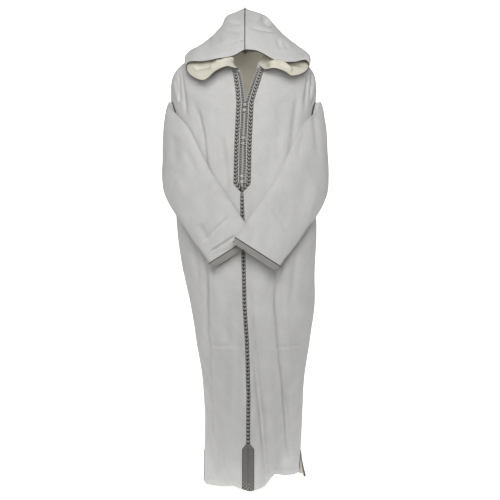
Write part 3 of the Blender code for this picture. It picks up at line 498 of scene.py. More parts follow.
def sleeve_rings(side, count):
    spread = ring_spread(count)
    rings = [armhole_ring(side, spread)]
    rings += [flat_ring(side, i, spread) for i in range(len(SLEEVE))]
    return np.array(rings)


def sleeve(side, at, count, body_tree, under=None):
    """Rings of the sleeve; at counts the sections from the armhole, which is 0."""
    rings = spline(sleeve_rings(side, count), at)
    gap = SEAM_GAP + (SLEEVE_CLEARANCE - SEAM_GAP) * smooth_step(np.asarray(at) * 3.5)
    rings = keep_clear(rings, body_tree, gap[:, None])
    if under is not None:
        rings = keep_clear(rings, under, SLEEVE_CLEARANCE * smooth_step(at - 5)[:, None])
    return rings if side > 0 else rings[:, ::-1]


def mitred(rows, side):
    """The half with its edges at the middle held back, so that its wall stops there."""
    sideways = np.abs(grid_normals(rows)[..., 0])
    least = SEAM_GAP / 2 + CLOTH * sideways
    rows[..., 0] = side * np.maximum(side * rows[..., 0], least)
    return rows


def beyond_edge(half, normals, distance):
    """A line beside the face opening's edge, in the middle of the cloth's wall."""
    edge = half[:, 0] - normals[:, 0] * CLOTH / 2
    steps = unit(np.diff(edge, axis=0))
    before, after = np.concatenate([steps[:1], steps]), np.concatenate([steps, steps[-1:]])
    along = unit(before + after)
    away = np.cross(along, normals[:, 0])
    away = unit(away) * np.sign((away * (half[:, 0] - half[:, 1])).sum(-1))[:, None]
    bend = np.maximum((before * along).sum(-1), 0.6)
    return edge + away * (distance / bend)[:, None]


def neck_angles(side, columns):
    """The angles round the neck that the hood's columns start from."""
    start = float(front_angle(slit_edge(BODY[0].z_front, side), np.array(0.0)))
    marks = [start, *(side * angle for angle in NECK_MARKS[side])]
    at = np.linspace(0, len(marks) - 1, columns + 1)
    return np.interp(at, np.arange(len(marks)), marks)


def hood_rows(side, columns):
    """The rib points of one half, with the neck seam before them as the first rib."""
    rows = []
    for rib in HOOD:
        edge = rib.edge if side < 0 else rib.edge_right
        spread = (1, 1, 1) if side < 0 else (-rib.spread, 1, 1)
        mirror = (-side, 1, 1)
        roll = np.array(edge) + (np.array(rib.roll) - rib.edge) * mirror
        rest = [np.array(p) * spread for p in (rib.cheek, rib.side, rib.nape, rib.seam)]
        path = np.array([edge, roll, *rest])
        rows.append(spline(path, np.linspace(0, len(path) - 1, columns + 1)))
    angle = neck_angles(side, columns)
    up = unit(body(0.0, angle) - body(0.08, angle))
    return np.array([body(0.0, angle) - up * SEAM_GAP, *rows])  # sewn on: no gap is left


# Creases, as they show from the front: each runs from one point to another and fades
# at its ends. A depth over zero is a ridge, and under zero a trough.
Crease = namedtuple("Crease", "x_start z_start x_end z_end width depth")
BODY_CREASES = (
    Crease(-0.154, -0.178, -0.1340, -0.262, 0.0040, -0.0075),
    Crease(-0.136, -0.240, -0.1265, -0.350, 0.0045, -0.0060),
    Crease(-0.147, -0.220, -0.1380, -0.330, 0.0070, 0.0030),
    Crease(-0.078, -0.245, -0.0520, -0.470, 0.0080, -0.0040),
    Crease(-0.100, -0.150, -0.0920, -0.320, 0.0140, -0.0030),
    Crease(0.172, -0.290, 0.1600, -0.370, 0.0090, -0.0045),
    Crease(0.120, -0.160, 0.1040, -0.350, 0.0160, -0.0035),
    Crease(0.228, -0.030, 0.2165, -0.125, 0.0040, -0.0075),
    Crease(0.231, -0.070, 0.2180, -0.148, 0.0030, 0.0045),
    Crease(0.235, -0.090, 0.2280, -0.155, 0.0025, 0.0035),
    Crease(-0.219, -0.040, -0.2135, -0.150, 0.0040, -0.0080),
    Crease(-0.234, -0.066, -0.2190, -0.150, 0.0030, 0.0050),
    Crease(-0.228, -0.060, -0.2240, -0.120, 0.0022, -0.0030),
    Crease(-0.122, -0.905, -0.1080, -0.938, 0.0030, -0.0034),
    Crease(-0.110, -0.936, -0.0060, -0.944, 0.0035, -0.0040),
    Crease(-0.110, -0.946, -0.0060, -0.953, 0.0050, 0.0026),
    Crease(0.055, -0.932, 0.0920, -0.947, 0.0035, -0.0038),
    Crease(0.090, -0.947, 0.1900, -0.938, 0.0035, -0.0042),
    Crease(0.090, -0.957, 0.1900, -0.948, 0.0050, 0.0026),
    Crease(-0.128, -0.660, -0.1270, -1.160, 0.0080, -0.0075),
    Crease(-0.029, -0.740, -0.0270, -1.160, 0.0170, -0.0055),
    Crease(0.012, -0.730, 0.0480, -1.150, 0.0050, -0.0080),
    Crease(0.044, -1.080, 0.0760, -1.400, 0.0050, -0.0060),
    Crease(0.026, -0.760, 0.0620, -1.160, 0.0060, 0.0045),
    Crease(0.096, -0.740, 0.1180, -1.020, 0.0060, -0.0075),
    Crease(0.114, -0.960, 0.1320, -1.150, 0.0060, -0.0065),
    Crease(0.124, -1.080, 0.1500, -1.260, 0.0060, -0.0055),
    Crease(-0.100, -1.230, -0.0600, -1.330, 0.0050, -0.0034),
    Crease(-0.075, -1.330, -0.0500, -1.385, 0.0040, -0.0030),
    Crease(0.085, -0.700, 0.0750, -0.800, 0.0070, -0.0034),
    Crease(0.170, -0.620, 0.1500, -0.820, 0.0120, -0.0060),
    Crease(-0.170, -0.560, -0.1500, -0.760, 0.0120, -0.0060),
)
SLEEVE_CREASES = {
    -1: (
        Crease(-0.115, -0.640, -0.026, -0.583, 0.0028, -0.0042),
        Crease(-0.112, -0.630, -0.030, -0.574, 0.0050, 0.0026),
        Crease(-0.106, -0.647, -0.036, -0.622, 0.0024, -0.0026),
        Crease(-0.140, -0.607, -0.042, -0.518, 0.0050, -0.0032),
        Crease(-0.150, -0.545, -0.118, -0.605, 0.0130, -0.0046),
        Crease(-0.196, -0.300, -0.150, -0.395, 0.0120, -0.0030),
        Crease(-0.226, -0.380, -0.190, -0.470, 0.0120, 0.0026),
        Crease(-0.170, -0.470, -0.105, -0.430, 0.0090, -0.0022),
        Crease(-0.235, -0.250, -0.222, -0.360, 0.0120, -0.0034),
    ),
    1: (
        Crease(0.106, -0.376, 0.206, -0.420, 0.0045, -0.0030),
        Crease(0.118, -0.440, 0.212, -0.482, 0.0045, -0.0026),
        Crease(0.228, -0.170, 0.240, -0.330, 0.0110, -0.0040),
        Crease(0.196, -0.230, 0.168, -0.340, 0.0120, -0.0026),
        Crease(-0.006, -0.558, 0.012, -0.554, 0.0030, -0.0030),
        Crease(0.140, -0.560, 0.070, -0.480, 0.0100, -0.0022),
        Crease(0.170, -0.520, 0.090, -0.410, 0.0100, 0.0018),
        Crease(0.238, -0.420, 0.205, -0.520, 0.0130, 0.0030),
    ),
}
HOOD_CREASES = (
    Crease(-0.074, 0.0330, 0.000, 0.0540, 0.0030, -0.0046),
    Crease(-0.078, 0.0260, 0.000, 0.0460, 0.0034, 0.0034),
    Crease(-0.096, 0.0800, -0.088, 0.0440, 0.0034, -0.0046),
    Crease(-0.084, 0.0760, -0.076, 0.0440, 0.0034, -0.0036),
    Crease(-0.118, 0.0740, -0.108, 0.0340, 0.0050, -0.0030),
    Crease(0.062, 0.1440, 0.086, 0.1080, 0.0070, -0.0090),
    Crease(0.050, 0.1300, 0.066, 0.1080, 0.0040, -0.0040),
    Crease(0.010, 0.0950, 0.100, 0.0860, 0.0040, -0.0026),
    Crease(0.108, 0.0620, 0.118, 0.0220, 0.0050, -0.0036),
    Crease(0.128, 0.0560, 0.140, 0.0220, 0.0050, -0.0024),
    Crease(-0.052, 0.1200, -0.012, 0.1080, 0.0050, -0.0026),
    Crease(-0.060, 0.0900, -0.010, 0.0780, 0.0070, -0.0026),
)
LIP_CREASES = (  # ridges that show on the inside of the two lips
    Crease(-0.1120, -0.0480, -0.0790, -0.0220, 0.0065, -0.0120),
    Crease(-0.0880, -0.0290, -0.0430, -0.0170, 0.0065, -0.0120),
    Crease(-0.0560, -0.0160, -0.0180, -0.0410, 0.0065, -0.0100),
    Crease(-0.1740, -0.0400, -0.1020, -0.0290, 0.0080, 0.0120),
    Crease(0.0720, -0.0300, 0.1240, -0.0230, 0.0060, -0.0110),
    Crease(0.1120, -0.0230, 0.1520, -0.0560, 0.0060, -0.0110),
    Crease(0.1360, -0.0220, 0.1900, -0.0260, 0.0070, 0.0110),
)


def crease_height(points, creases):
    """How far the creases move each point out."""
    place = points[..., (0, 2)]
    total = np.zeros(points.shape[:-1])
    for crease in creases:
        start = np.array([crease.x_start, crease.z_start])
        run = np.array([crease.x_end, crease.z_end]) - start
        share = np.clip((place - start) @ run / (run @ run), 0, 1)
        off = np.linalg.norm(place - start - share[..., None] * run, axis=-1)
        fade = smooth_step(share * 5) * smooth_step((1 - share) * 5)
        total += crease.depth * fade * np.exp(-((off / crease.width) ** 2))
    return total


def ripple(points, size, depth, seed=0.0, stretch=(1.0, 1.0, 0.35)):
    """Slow, uneven waves in cloth, longer down it than across it."""
    flat = (points.reshape(-1, 3) * stretch / size + seed).tolist()
    heights = [noise.noise(Vector(p)) for p in flat]
    return np.reshape(heights, points.shape[:-1]) * depth


# Materials
def shader_of(name, colour, roughness, sheen=0.0):
    made = bpy.data.materials.new(name)
    made.use_nodes = True
    tree = made.node_tree
    shader = tree.nodes["Principled BSDF"]
    shader.inputs["Base Color"].default_value = (*colour, 1.0)
    shader.inputs["Roughness"].default_value = roughness
    shader.inputs["Specular IOR Level"].default_value = 0.3
    shader.inputs["Sheen Weight"].default_value = sheen
    shader.inputs["Sheen Roughness"].default_value = 0.5
    return made, tree, shader


def node(tree, kind, values=(), links=(), **settings):
    """A shader node with its sockets filled: values by name, links by name."""
    made = tree.nodes.new(kind)
    for key, value in settings.items():
        setattr(made, key, value)
    for key, value in dict(values).items():
        made.inputs[key].default_value = value
    for key, value in dict(links).items():
        tree.links.new(value, made.inputs[key])
    return made


def mapped(tree, scale):
    uv = node(tree, "ShaderNodeUVMap", uv_map="metres")
    links = {"Vector": uv.outputs["UV"]}
    return node(tree, "ShaderNodeMapping", {"Scale": scale}, links).outputs["Vector"]


def noise_of(tree, vector, scale, detail=3.0):
    values = {"Scale": scale, "Detail": detail}
    made = node(tree, "ShaderNodeTexNoise", values, {"Vector": vector})
    return made.outputs["Fac"]


def wave_of(tree, vector, pitch, direction, distortion=0.0):
    """Straight bands, one for each pitch in metres."""
    values = {"Scale": math.tau / 20 / pitch, "Distortion": distortion, "Detail": 1.0}
    settings = {"wave_type": "BANDS", "bands_direction": direction}
    made = node(tree, "ShaderNodeTexWave", values, {"Vector": vector}, **settings)
    return made.outputs["Fac"]


def combined(tree, operation, first, second):
    made = node(tree, "ShaderNodeMath", operation=operation)
    for socket, value in zip(made.inputs, (first, second)):
        if isinstance(value, float):
            socket.default_value = value
        else:
            tree.links.new(value, socket)
    return made.outputs[0]


def mixed(tree, factor, first, second):
    """One colour or the other by factor; each is a colour or a socket."""
    made = node(tree, "ShaderNodeMix", data_type="RGBA")
    tree.links.new(factor, made.inputs[0])
    for socket, value in ((made.inputs[6], first), (made.inputs[7], second)):
        if isinstance(value, tuple):
            socket.default_value = (*value, 1.0)
        else:
            tree.links.new(value, socket)
    return made.outputs[2]


def ranged(tree, value, low, high, to_low=0.0, to_high=1.0):
    values = {"From Min": low, "From Max": high, "To Min": to_low, "To Max": to_high}
    made = node(tree, "ShaderNodeMapRange", values, {"Value": value})
    return made.outputs["Result"]


def bumped(tree, shader, heights):
    """Bumps one on the other: each is (height, distance, strength)."""
    normal = None
    for height, distance, strength in heights:
        links = {"Height": height}
        if normal is not None:
            links["Normal"] = normal
        values = {"Distance": distance, "Strength": strength}
        normal = node(tree, "ShaderNodeBump", values, links).outputs["Normal"]
    tree.links.new(normal, shader.inputs["Normal"])


def cloth_material(name, light, dark):
    """Plain weave with slubs across it, and slow changes of shade."""
    made, tree, shader = shader_of(name, light, 0.9, 0.15)
    plain = mapped(tree, (1, 1, 1))
    across = mapped(tree, (60, 700, 1))
    down = mapped(tree, (520, 70, 1))
    blotch = noise_of(tree, plain, 14.0, 4.0)
    slub = noise_of(tree, across, 1.0, 2.0)
    warp_slub = noise_of(tree, down, 1.0, 2.0)
    crinkle = noise_of(tree, mapped(tree, (150, 260, 1)), 1.0, 3.0)
    weft = wave_of(tree, plain, 0.0011, "Y", 0.6)
    warp = wave_of(tree, plain, 0.0009, "X", 0.6)
    weave = combined(tree, "MULTIPLY", weft, warp)
    blotch_share = ranged(tree, blotch, 0.3, 0.7, 0, 0.5)
    slub_share = ranged(tree, slub, 0.3, 0.75, 0, 0.5)
    shade = combined(tree, "ADD", blotch_share, slub_share)
    tree.links.new(mixed(tree, shade, light, dark), shader.inputs["Base Color"])
    rough = ranged(tree, blotch, 0.3, 0.7, 0.82, 0.95)
    tree.links.new(rough, shader.inputs["Roughness"])
    bumped(
        tree,
        shader,
        (
            (crinkle, 0.0018, 0.75),
            (slub, 0.0008, 0.6),
            (warp_slub, 0.0005, 0.4),
            (weave, 0.0004, 0.5),
        ),
    )
    return made


def thread_material(name, light, dark, roughness=0.65, sheen=0.3):
    """Twisted yarn: its plies wind round it, and its shade changes along it."""
    made, tree, shader = shader_of(name, light, roughness, sheen)
    twist = wave_of(tree, mapped(tree, (1, 1, 1)), 0.0012, "DIAGONAL", 0.3)
    fibre = noise_of(tree, mapped(tree, (900, 2600, 1)), 1.0, 2.0)
    shade = combined(tree, "MULTIPLY", twist, ranged(tree, fibre, 0.3, 0.7, 0.5, 1.0))
    tree.links.new(mixed(tree, shade, dark, light), shader.inputs["Base Color"])
    bumped(tree, shader, ((twist, 0.0004, 0.7), (fibre, 0.0002, 0.5)))
    return made


CREAM = cloth_material("cream_weave", (0.70, 0.697, 0.684), (0.57, 0.566, 0.55))
# The cloth's inside face has a yellower tone than its outside. It is also lighter than the outside, which
# is painted light for the lit lips of the hood and the lit inside of the neck.
INSIDE_TONE_AND_PAINTED_LIGHT = cloth_material("cream_weave_inside_painted_light", (0.82, 0.785, 0.665), (0.70, 0.67, 0.565))
BLACK = thread_material("black_yarn", (0.030, 0.027, 0.026), (0.012, 0.011, 0.010))
GREY = thread_material("grey_yarn", (0.20, 0.19, 0.18), (0.09, 0.085, 0.08))
DUSK = thread_material("dusk_yarn", (0.10, 0.094, 0.088), (0.04, 0.037, 0.035))
SILVER = thread_material("silver_yarn", (0.72, 0.70, 0.66), (0.42, 0.40, 0.37), 0.45)
PALE = thread_material("pale_grey_yarn", (0.44, 0.43, 0.41), (0.26, 0.25, 0.24), 0.6)
BRIGHT = thread_material("bright_silk", (0.86, 0.85, 0.82), (0.62, 0.60, 0.57), 0.35)
THREAD = thread_material("sewing_thread", (0.66, 0.64, 0.58), (0.48, 0.46, 0.41), 0.6)


def finished(name, mesh, finishes, nodes):
    """An object that rides on the body and stands for those nodes."""
    made = bpy.data.objects.new(name, mesh)
    bpy.context.scene.collection.objects.link(made)
    for finish in finishes:
        mesh.materials.append(finish)
    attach(made, "root")
    if nodes:
        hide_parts(*nodes)
    return made


def add_uv(mesh, uv):
    """uv holds one place for each vertex."""
    layer = mesh.uv_layers.new(name="metres")
    corner = np.empty(len(mesh.loops), np.int32)
    mesh.loops.foreach_get("vertex_index", corner)
    layer.uv.foreach_set("vector", np.asarray(uv, np.float32)[corner].ravel())


def lengths_of(points):
    """For each point of a grid, its distance along its row and down its column."""
    across = np.linalg.norm(np.diff(points, axis=1), axis=-1)
    down = np.linalg.norm(np.diff(points, axis=0), axis=-1)
    u = np.concatenate([np.zeros((len(points), 1)), np.cumsum(across, 1)], 1)
    v = np.concatenate([np.zeros((1, points.shape[1])), np.cumsum(down, 0)], 0)
    return np.stack([u, v], -1)


def shell(name, points, finishes, nodes, wall=CLOTH, outward=False, closed=False):
    """A piece of cloth or ribbon: the grid's surface, with a wall on one side of it."""
    mesh = bpy.data.meshes.new(name)
    rows, columns = points.shape[:2]
    mesh.from_pydata(
        points.reshape(-1, 3).tolist(), [], grid_faces(rows, columns, closed)
    )
    mesh.update()
    mesh.shade_smooth()
    add_uv(mesh, lengths_of(points).reshape(-1, 2))
    made = finished(name, mesh, finishes, nodes)
    thicken = made.modifiers.new("wall", "SOLIDIFY")
    thicken.thickness = wall
    thicken.offset = 1.0 if outward else -1.0
    # The second finish goes on the wall's inner side: the inside face's yellower tone, with its painted
    # light.
    if len(finishes) > 1:
        thicken.material_offset = 1
    return made


def tube_mesh(paths, normals, radius, flat=1.0, pointed=True):
    """Points, faces and places of many tubes with rounded ends, all of one length."""
    count, steps = paths.shape[:2]
    along = unit(np.gradient(paths, axis=1))
    across = unit(np.cross(normals, along))
    up = np.cross(along, across)
    share = np.linspace(-1, 1, steps)
    taper = np.sqrt(1 - 0.9 * share**8) if pointed else np.ones(steps)
    radius = np.broadcast_to(radius, (count,))[:, None, None, None]
    turn = np.arange(THREAD_SIDES) / THREAD_SIDES * 2 * np.pi
    ring = (
        across[:, :, None] * np.cos(turn)[:, None]
        + up[:, :, None] * np.sin(turn)[:, None] * flat
    )
    points = paths[:, :, None] + ring * radius * taper[:, None, None]
    length = np.cumsum(np.linalg.norm(np.diff(paths, axis=1), axis=-1), 1)
    length = np.concatenate([np.zeros((count, 1)), length], 1)
    round_it = np.arange(THREAD_SIDES) / THREAD_SIDES * 2 * np.pi * float(radius.mean())
    places = np.stack(np.broadcast_arrays(length[:, :, None], round_it), -1)
    one = grid_faces(steps, THREAD_SIDES, True)
    size = steps * THREAD_SIDES
    caps = [tuple(range(THREAD_SIDES)), tuple(range(size - 1, size - THREAD_SIDES - 1, -1))]
    faces = []
    for i in range(count):
        base = i * size
        faces += [tuple(base + v for v in face) for face in one + caps]
    return points.reshape(-1, 3), faces, places.reshape(-1, 2)


def tubes(name, groups, nodes=()):
    """Tubes of several finishes as one piece; a group is (finish, mesh of tubes)."""
    points, faces, places, index, finishes = [], [], [], [], []
    base = 0
    for finish, (own_points, own_faces, own_places) in groups:
        if finish not in finishes:
            finishes.append(finish)
        points.append(own_points)
        places.append(own_places)
        faces += [tuple(base + v for v in face) for face in own_faces]
        index += [finishes.index(finish)] * len(own_faces)
        base += len(own_points)
    mesh = bpy.data.meshes.new(name)
    mesh.from_pydata(np.concatenate(points).tolist(), [], faces)
    mesh.update()
    mesh.shade_smooth()
    add_uv(mesh, np.concatenate(places))
    mesh.polygons.foreach_set("material_index", np.array(index, np.int32))
    return finished(name, mesh, finishes, nodes)


# Strips of braid
class Strip:
    """A band of surface that threads are laid on: s is metres along, u -1 to 1 across."""

    def __init__(self, grid):
        self.grid = grid
        self.normals = grid_normals(grid)
        middle = grid[:, grid.shape[1] // 2]
        steps = np.linalg.norm(np.diff(middle, axis=0), axis=-1)
        self.along = np.concatenate([[0], np.cumsum(steps)])
        self.length = self.along[-1]

    def place(self, s, u, lift):
        s, u = np.broadcast_arrays(np.asarray(s, float), np.asarray(u, float))
        row = np.interp(s, self.along, np.arange(len(self.along)))
        column = (u + 1) / 2 * (self.grid.shape[1] - 1)
        r = np.minimum(row.astype(int), len(self.grid) - 2)
        c = np.clip(column.astype(int), 0, self.grid.shape[1] - 2)
        down, across = (row - r)[..., None], (column - c)[..., None]

        def read(values):
            upper = values[r, c] * (1 - across) + values[r, c + 1] * across
            lower = values[r + 1, c] * (1 - across) + values[r + 1, c + 1] * across
            return upper * (1 - down) + lower * down

        normals = unit(read(self.normals))
        return read(self.grid) + normals * lift, normals

    def threads(self, starts, ends, lift, radius, flat=0.7, steps=7, bow=0.0):
        """Short threads, each from a start to an end given as (s, u)."""
        share = np.linspace(0, 1, steps)
        starts, ends = np.asarray(starts, float), np.asarray(ends, float)
        s = starts[:, :1] + (ends[:, :1] - starts[:, :1]) * share
        u = starts[:, 1:] + (ends[:, 1:] - starts[:, 1:]) * share
        keep = (s.min(1) >= 0) & (s.max(1) <= self.length)
        hump = lift + bow * np.sin(np.pi * share)
        points, normals = self.place(s[keep], u[keep], hump[None, :, None])
        return tube_mesh(points, normals, radius, flat)

    def run(self, u, lift, radius, flat=1.0, step=0.004):
        """One thread all along the strip; u may change along it."""
        s = np.linspace(0, self.length, max(int(self.length / step), 8))
        across = np.interp(s / self.length, np.linspace(0, 1, np.size(u)), np.ravel(u))
        points, normals = self.place(s, across, lift)
        return tube_mesh(points[None], normals[None], radius, flat)

    def plies(self, u, lift, radius, pitch, phase=0.0, step=0.0012):
        """A cord of two plies that wind round each other, along the strip."""
        s = np.linspace(0, self.length, max(int(self.length / step), 8))
        middle, normals = self.place(s, u, lift)
        return ply_meshes(middle, normals, radius, pitch, phase)

    def ribbon(self, name, finish, nodes, closed=False):
        grid = self.grid + self.normals * SEAM_GAP
        if closed:
            grid = grid[:-1][::-1].transpose(1, 0, 2)
        return shell(name, grid, [finish], nodes, RIBBON, True, closed)


def ply_meshes(middle, normals, radius, pitch, phase=0.0):
    """The two plies of a cord along a line, each as a mesh of tubes."""
    steps = np.linalg.norm(np.diff(middle, axis=0), axis=-1)
    s = np.concatenate([[0], np.cumsum(steps)])
    across = unit(np.cross(normals, np.gradient(middle, axis=0)))
    made = []
    for start in (0, np.pi):
        turn = (s / pitch * 2 * np.pi + start + phase)[:, None]
        path = middle + (across * np.cos(turn) + normals * np.sin(turn)) * radius / 2
        made.append(tube_mesh(path[None], normals[None], radius * 0.56, 1.0, False))
    return made


# The robe's body
ROW_STEP = 0.0055
BODY_ROUND = 60
SLEEVE_ROUND = 96
HEM_FACING = 0.021  # depth of the turned hem
HEM_GROOVE = 0.0011  # how far its sewing draws the cloth in


def robe(section, angle):
    """The body's surface with its creases and slow waves."""
    section, angle = np.broadcast_arrays(
        np.asarray(section, float), np.asarray(angle, float)
    )
    points = body(section, angle)
    off = (angle + 180) % 360 - 180
    seam = np.where(off < 0, side_seam(section, -1), side_seam(section, 1))
    beside = np.abs(np.abs(off) - seam) - armhole_opening(section)
    at_armhole = (section > ARMHOLE_TOP - 0.6) & (section < UNDERARM + 0.6)
    calm = np.where(at_armhole, smooth_step(beside / 9), 1.0) * smooth_step(section / 0.7)
    height = crease_height(points, BODY_CREASES) * (np.cos(np.radians(angle)) > 0)
    height = height + ripple(points, 0.150, 0.0060) + ripple(points, 0.045, 0.0020, 7.0)
    height = height + ripple(points, 0.018, 0.0005, 3.0)
    top = BODY[SLIT_TOP].z_side
    hem = np.interp(off, *zip(*HEM_LINE))
    above_hem = np.where(section > SLIT_TOP, points[..., 2] - hem, top - hem)
    height = height - HEM_GROOVE * np.exp(-(((above_hem - HEM_FACING) / 0.0022) ** 2))
    points = points + tail(section, off) * (off > 90)[..., None]
    return points + body_normal(section, angle) * (height * calm)[..., None]


def body_sections():
    """Close rows, with those round the armhole where the sleeve's first ring has them."""
    turn = np.linspace(0, np.pi, SLEEVE_ROUND // 2 + 1)
    armhole = ARMHOLE_TOP + (UNDERARM - ARMHOLE_TOP) * (1 - np.cos(turn)) / 2
    low = np.arange(-BODY[UNDERARM].z_side + ROW_STEP, -BODY[SLIT_TOP].z_side, ROW_STEP)
    slit = np.linspace(SLIT_TOP, HEM, 44)
    top = np.linspace(0, ARMHOLE_TOP, 54, endpoint=False)
    return np.unique([*top, *armhole, *section_at_front(-low), *slit])


def front_point(side, distance, z):
    """A point on a front panel, by its distance from the middle edge and its height."""
    section = section_at_front(z)
    return robe(section, front_angle(slit_edge(z, side) + side * distance, section))


def front_panel(side):
    """Columns run from the middle of the front to the side."""
    section = body_sections()[:, None]
    z = spline(BODY_ROWS, section)[..., 1]
    near_distance = np.array([0, 0.0035, 0.007, 0.0105, 0.014, 0.0205, 0.027])
    near = front_angle(slit_edge(z, side) + side * near_distance, section)
    end = side * (side_seam(section, side) - side_opening(section, side))
    band = end - side * SIDE_BAND_ANGLE
    share = np.arange(1, BODY_ROUND - 9)[None, :] / (BODY_ROUND - 10)
    between = near[:, -1:] + (band - near[:, -1:]) * share
    beside = band + (end - band) * np.array([0.5, 1.0])
    return robe(section, np.concatenate([near, between, beside], 1))


def back_panel():
    """Columns run from the right side round the back to the left side."""
    section = body_sections()[:, None]
    right, left = (180 - side_seam(section, s) - side_opening(section, s) for s in (1, -1))
    share = np.sin(np.linspace(-1, 1, 2 * BODY_ROUND + 1) * np.pi / 2 * 0.86)
    share = share / share[-1]
    return robe(section, 180 + np.where(share < 0, right, left) * share)


def make_body():
    fronts = {side: front_panel(side) for side in (-1, 1)}
    back = back_panel()
    made = []
    for side, name in ((-1, "left"), (1, "right")):
        node_name = "robe_front_" + name
        grid = face_out(fronts[side], side)
        made.append(shell("cloth_front_" + name, grid, [CREAM, INSIDE_TONE_AND_PAINTED_LIGHT], [node_name]))
    made.append(shell("cloth_back", back, [CREAM, INSIDE_TONE_AND_PAINTED_LIGHT], ["robe_back"]))
    return made


# Sleeves
PRESSED_EDGE = 0.0022  # how far the ironed crease on top stands out


def sleeve_surface(side, body_tree, under):
    at = np.linspace(0, len(SLEEVE), 136)
    rings = sleeve(side, at, SLEEVE_ROUND, body_tree, under)
    normals = grid_normals(rings, True)
    outer = smooth_step((0.2 - normals[..., 1]) / 0.4)
    height = crease_height(rings, SLEEVE_CREASES[side]) * outer * 1.5
    height = height + ripple(rings, 0.09, 0.0034, 3.0 * side, (1, 1, 1)) * outer
    height = height + ripple(rings, 0.035, 0.0014, 5.0 * side, (1, 1, 1))
    off = np.minimum(np.arange(SLEEVE_ROUND), SLEEVE_ROUND - np.arange(SLEEVE_ROUND))
    if side < 0:
        off = np.roll(off, -1)
    height = height + PRESSED_EDGE * np.exp(-((off / 1.4) ** 2))
    calm = smooth_step(at / 1.2)[:, None]
    return rings + normals * (height * calm)[..., None]


def cuff_band(rings):
    """Rings over the sleeve's end, each as far from it all the way round."""
    ends = rings[:-30:-1]
    steps = np.linalg.norm(np.diff(ends, axis=0), axis=-1)
    s = np.concatenate([np.zeros((1, steps.shape[1])), np.cumsum(steps, 0)])
    at = np.linspace(CUFF_BRAID_WIDTH, 0, 7)
    band = [
        [np.interp(at, s[:, c], ends[:, c, i]) for i in range(3)]
        for c in range(rings.shape[1])
    ]
    return np.moveaxis(np.array(band), (0, 1, 2), (1, 2, 0))


def make_sleeves(body_tree):
    made, under = [], None
    for side, name in ((-1, "left"), (1, "right")):
        rings = sleeve_surface(side, body_tree, under)
        node_name = "sleeve_" + name
        piece = shell("cloth_sleeve_" + name, rings, [CREAM, INSIDE_TONE_AND_PAINTED_LIGHT], [node_name], closed=True)
        made.append(piece)
        make_cuff(name, cuff_band(rings))
        under = surface_tree(rings, True)
    return made


def make_cuff(name, band):
    """Rows of fine stitches between two dark edge cords."""
    grid = band.transpose(1, 0, 2)[::-1]
    strip = Strip(np.concatenate([grid, grid[:1]]))
    strip.ribbon("cuff_ribbon_" + name, PALE, ["cuff_braid_" + name], True)
    groups = []
    pitch = 0.0064
    for rows, finish, share, lift, radius in (
        ((-0.52, 0.0, 0.52), BRIGHT, 0.80, 0.0015, 0.0016),
        ((-0.26, 0.26), BLACK, 0.66, 0.0018, 0.0009),
    ):
        for i, u in enumerate(rows):
            s = np.arange(0.0005, strip.length - pitch, pitch) + (i % 2) * pitch / 2
            starts = np.stack([s, np.full_like(s, u)], 1)
            made = strip.threads(starts, starts + (pitch * share, 0), lift, radius, 0.7, 4)
            groups.append((finish, made))
    for u, finish in ((-0.94, BLACK), (-0.80, BLACK), (0.80, BLACK), (0.94, BRIGHT)):
        groups += [(finish, ply) for ply in strip.plies(u, 0.0014, 0.0013, 0.0050)]
    tubes("cuff_threads_" + name, groups)


# The hood
HOOD_ROUND = 72


def hood_surface(side, body_tree):
    at = np.linspace(0, len(HOOD), 8 * len(HOOD) + 1)
    rows = spline(hood_rows(side, HOOD_ROUND), at)
    gap = HOOD_CLEARANCE * smooth_step(at / 1.5)
    over = at >= 1
    rows[over] = keep_clear(rows[over], body_tree, gap[over, None])
    normals = face_out(grid_normals(face_out(rows[::-1], side)), side)[::-1]
    front = smooth_step((0.2 - normals[..., 1]) / 0.4)
    calm = smooth_step(at / 1.5)[:, None] * smooth_step(np.abs(rows[..., 0]) / 0.012)
    inside = smooth_step((normals[..., 1] + 0.1) / 0.3) * (rows[..., 2] < 0.005)
    height = crease_height(rows, HOOD_CREASES) * front * 3.0
    height = height + crease_height(rows, LIP_CREASES) * inside
    height = height + ripple(rows, 0.060, 0.0032, 9.0, (1, 1, 1))
    height = height + ripple(rows, 0.024, 0.0012, 11.0, (1, 1, 1))
    return mitred(rows + normals * (height * calm)[..., None], side)


def make_hood(body_tree):
    halves = {side: hood_surface(side, body_tree) for side in (-1, 1)}
    made = []
    for side, name in ((-1, "left"), (1, "right")):
        half = halves[side]
        grid = face_out(half[::-1], side)
        made.append(shell("cloth_hood_" + name, grid, [CREAM, INSIDE_TONE_AND_PAINTED_LIGHT], ["hood_" + name]))
        normals = face_out(grid_normals(grid), side)[::-1]
        edge = beyond_edge(half, normals, CORD_RADIUS + SEAM_GAP)[4:]
        edge[:, 0] = side * np.maximum(side * edge[:, 0], CORD_RADIUS + SEAM_GAP)
        groups = [(BLACK, ply) for ply in ply_meshes(*even(edge, normals[4:, 0]), CORD_RADIUS, 0.006)]
        tubes("hood_edge_plies_" + name, groups, ["hood_edge_cord_" + name])
    seams = [np.concatenate([halves[s][-1], halves[s][-2:0:-1, -1]]) for s in (-1, 1)]
    seam = (seams[0] + seams[1]) / 2
    along = np.gradient(seam, axis=0)
    out = unit(np.stack([0 * along[:, 0], -along[:, 2], along[:, 1]], -1))
    line = seam + out * (CORD_RADIUS + SEAM_GAP)
    groups = [(BLACK, ply) for ply in ply_meshes(*even(line, out), CORD_RADIUS, 0.006)]
    tubes("hood_seam_plies", groups, ["hood_seam_cord"])
    make_nape_ring()
    return made


def even(line, normals, step=0.0012):
    """The line and its normals at even, close steps."""
    steps = np.linalg.norm(np.diff(line, axis=0), axis=-1)
    s = np.concatenate([[0], np.cumsum(steps)])
    at = np.linspace(0, s[-1], max(int(s[-1] / step), 8))
    read = [np.stack([np.interp(at, s, rows[:, i]) for i in range(3)], -1) for rows in (line, normals)]
    return read[0], unit(read[1])


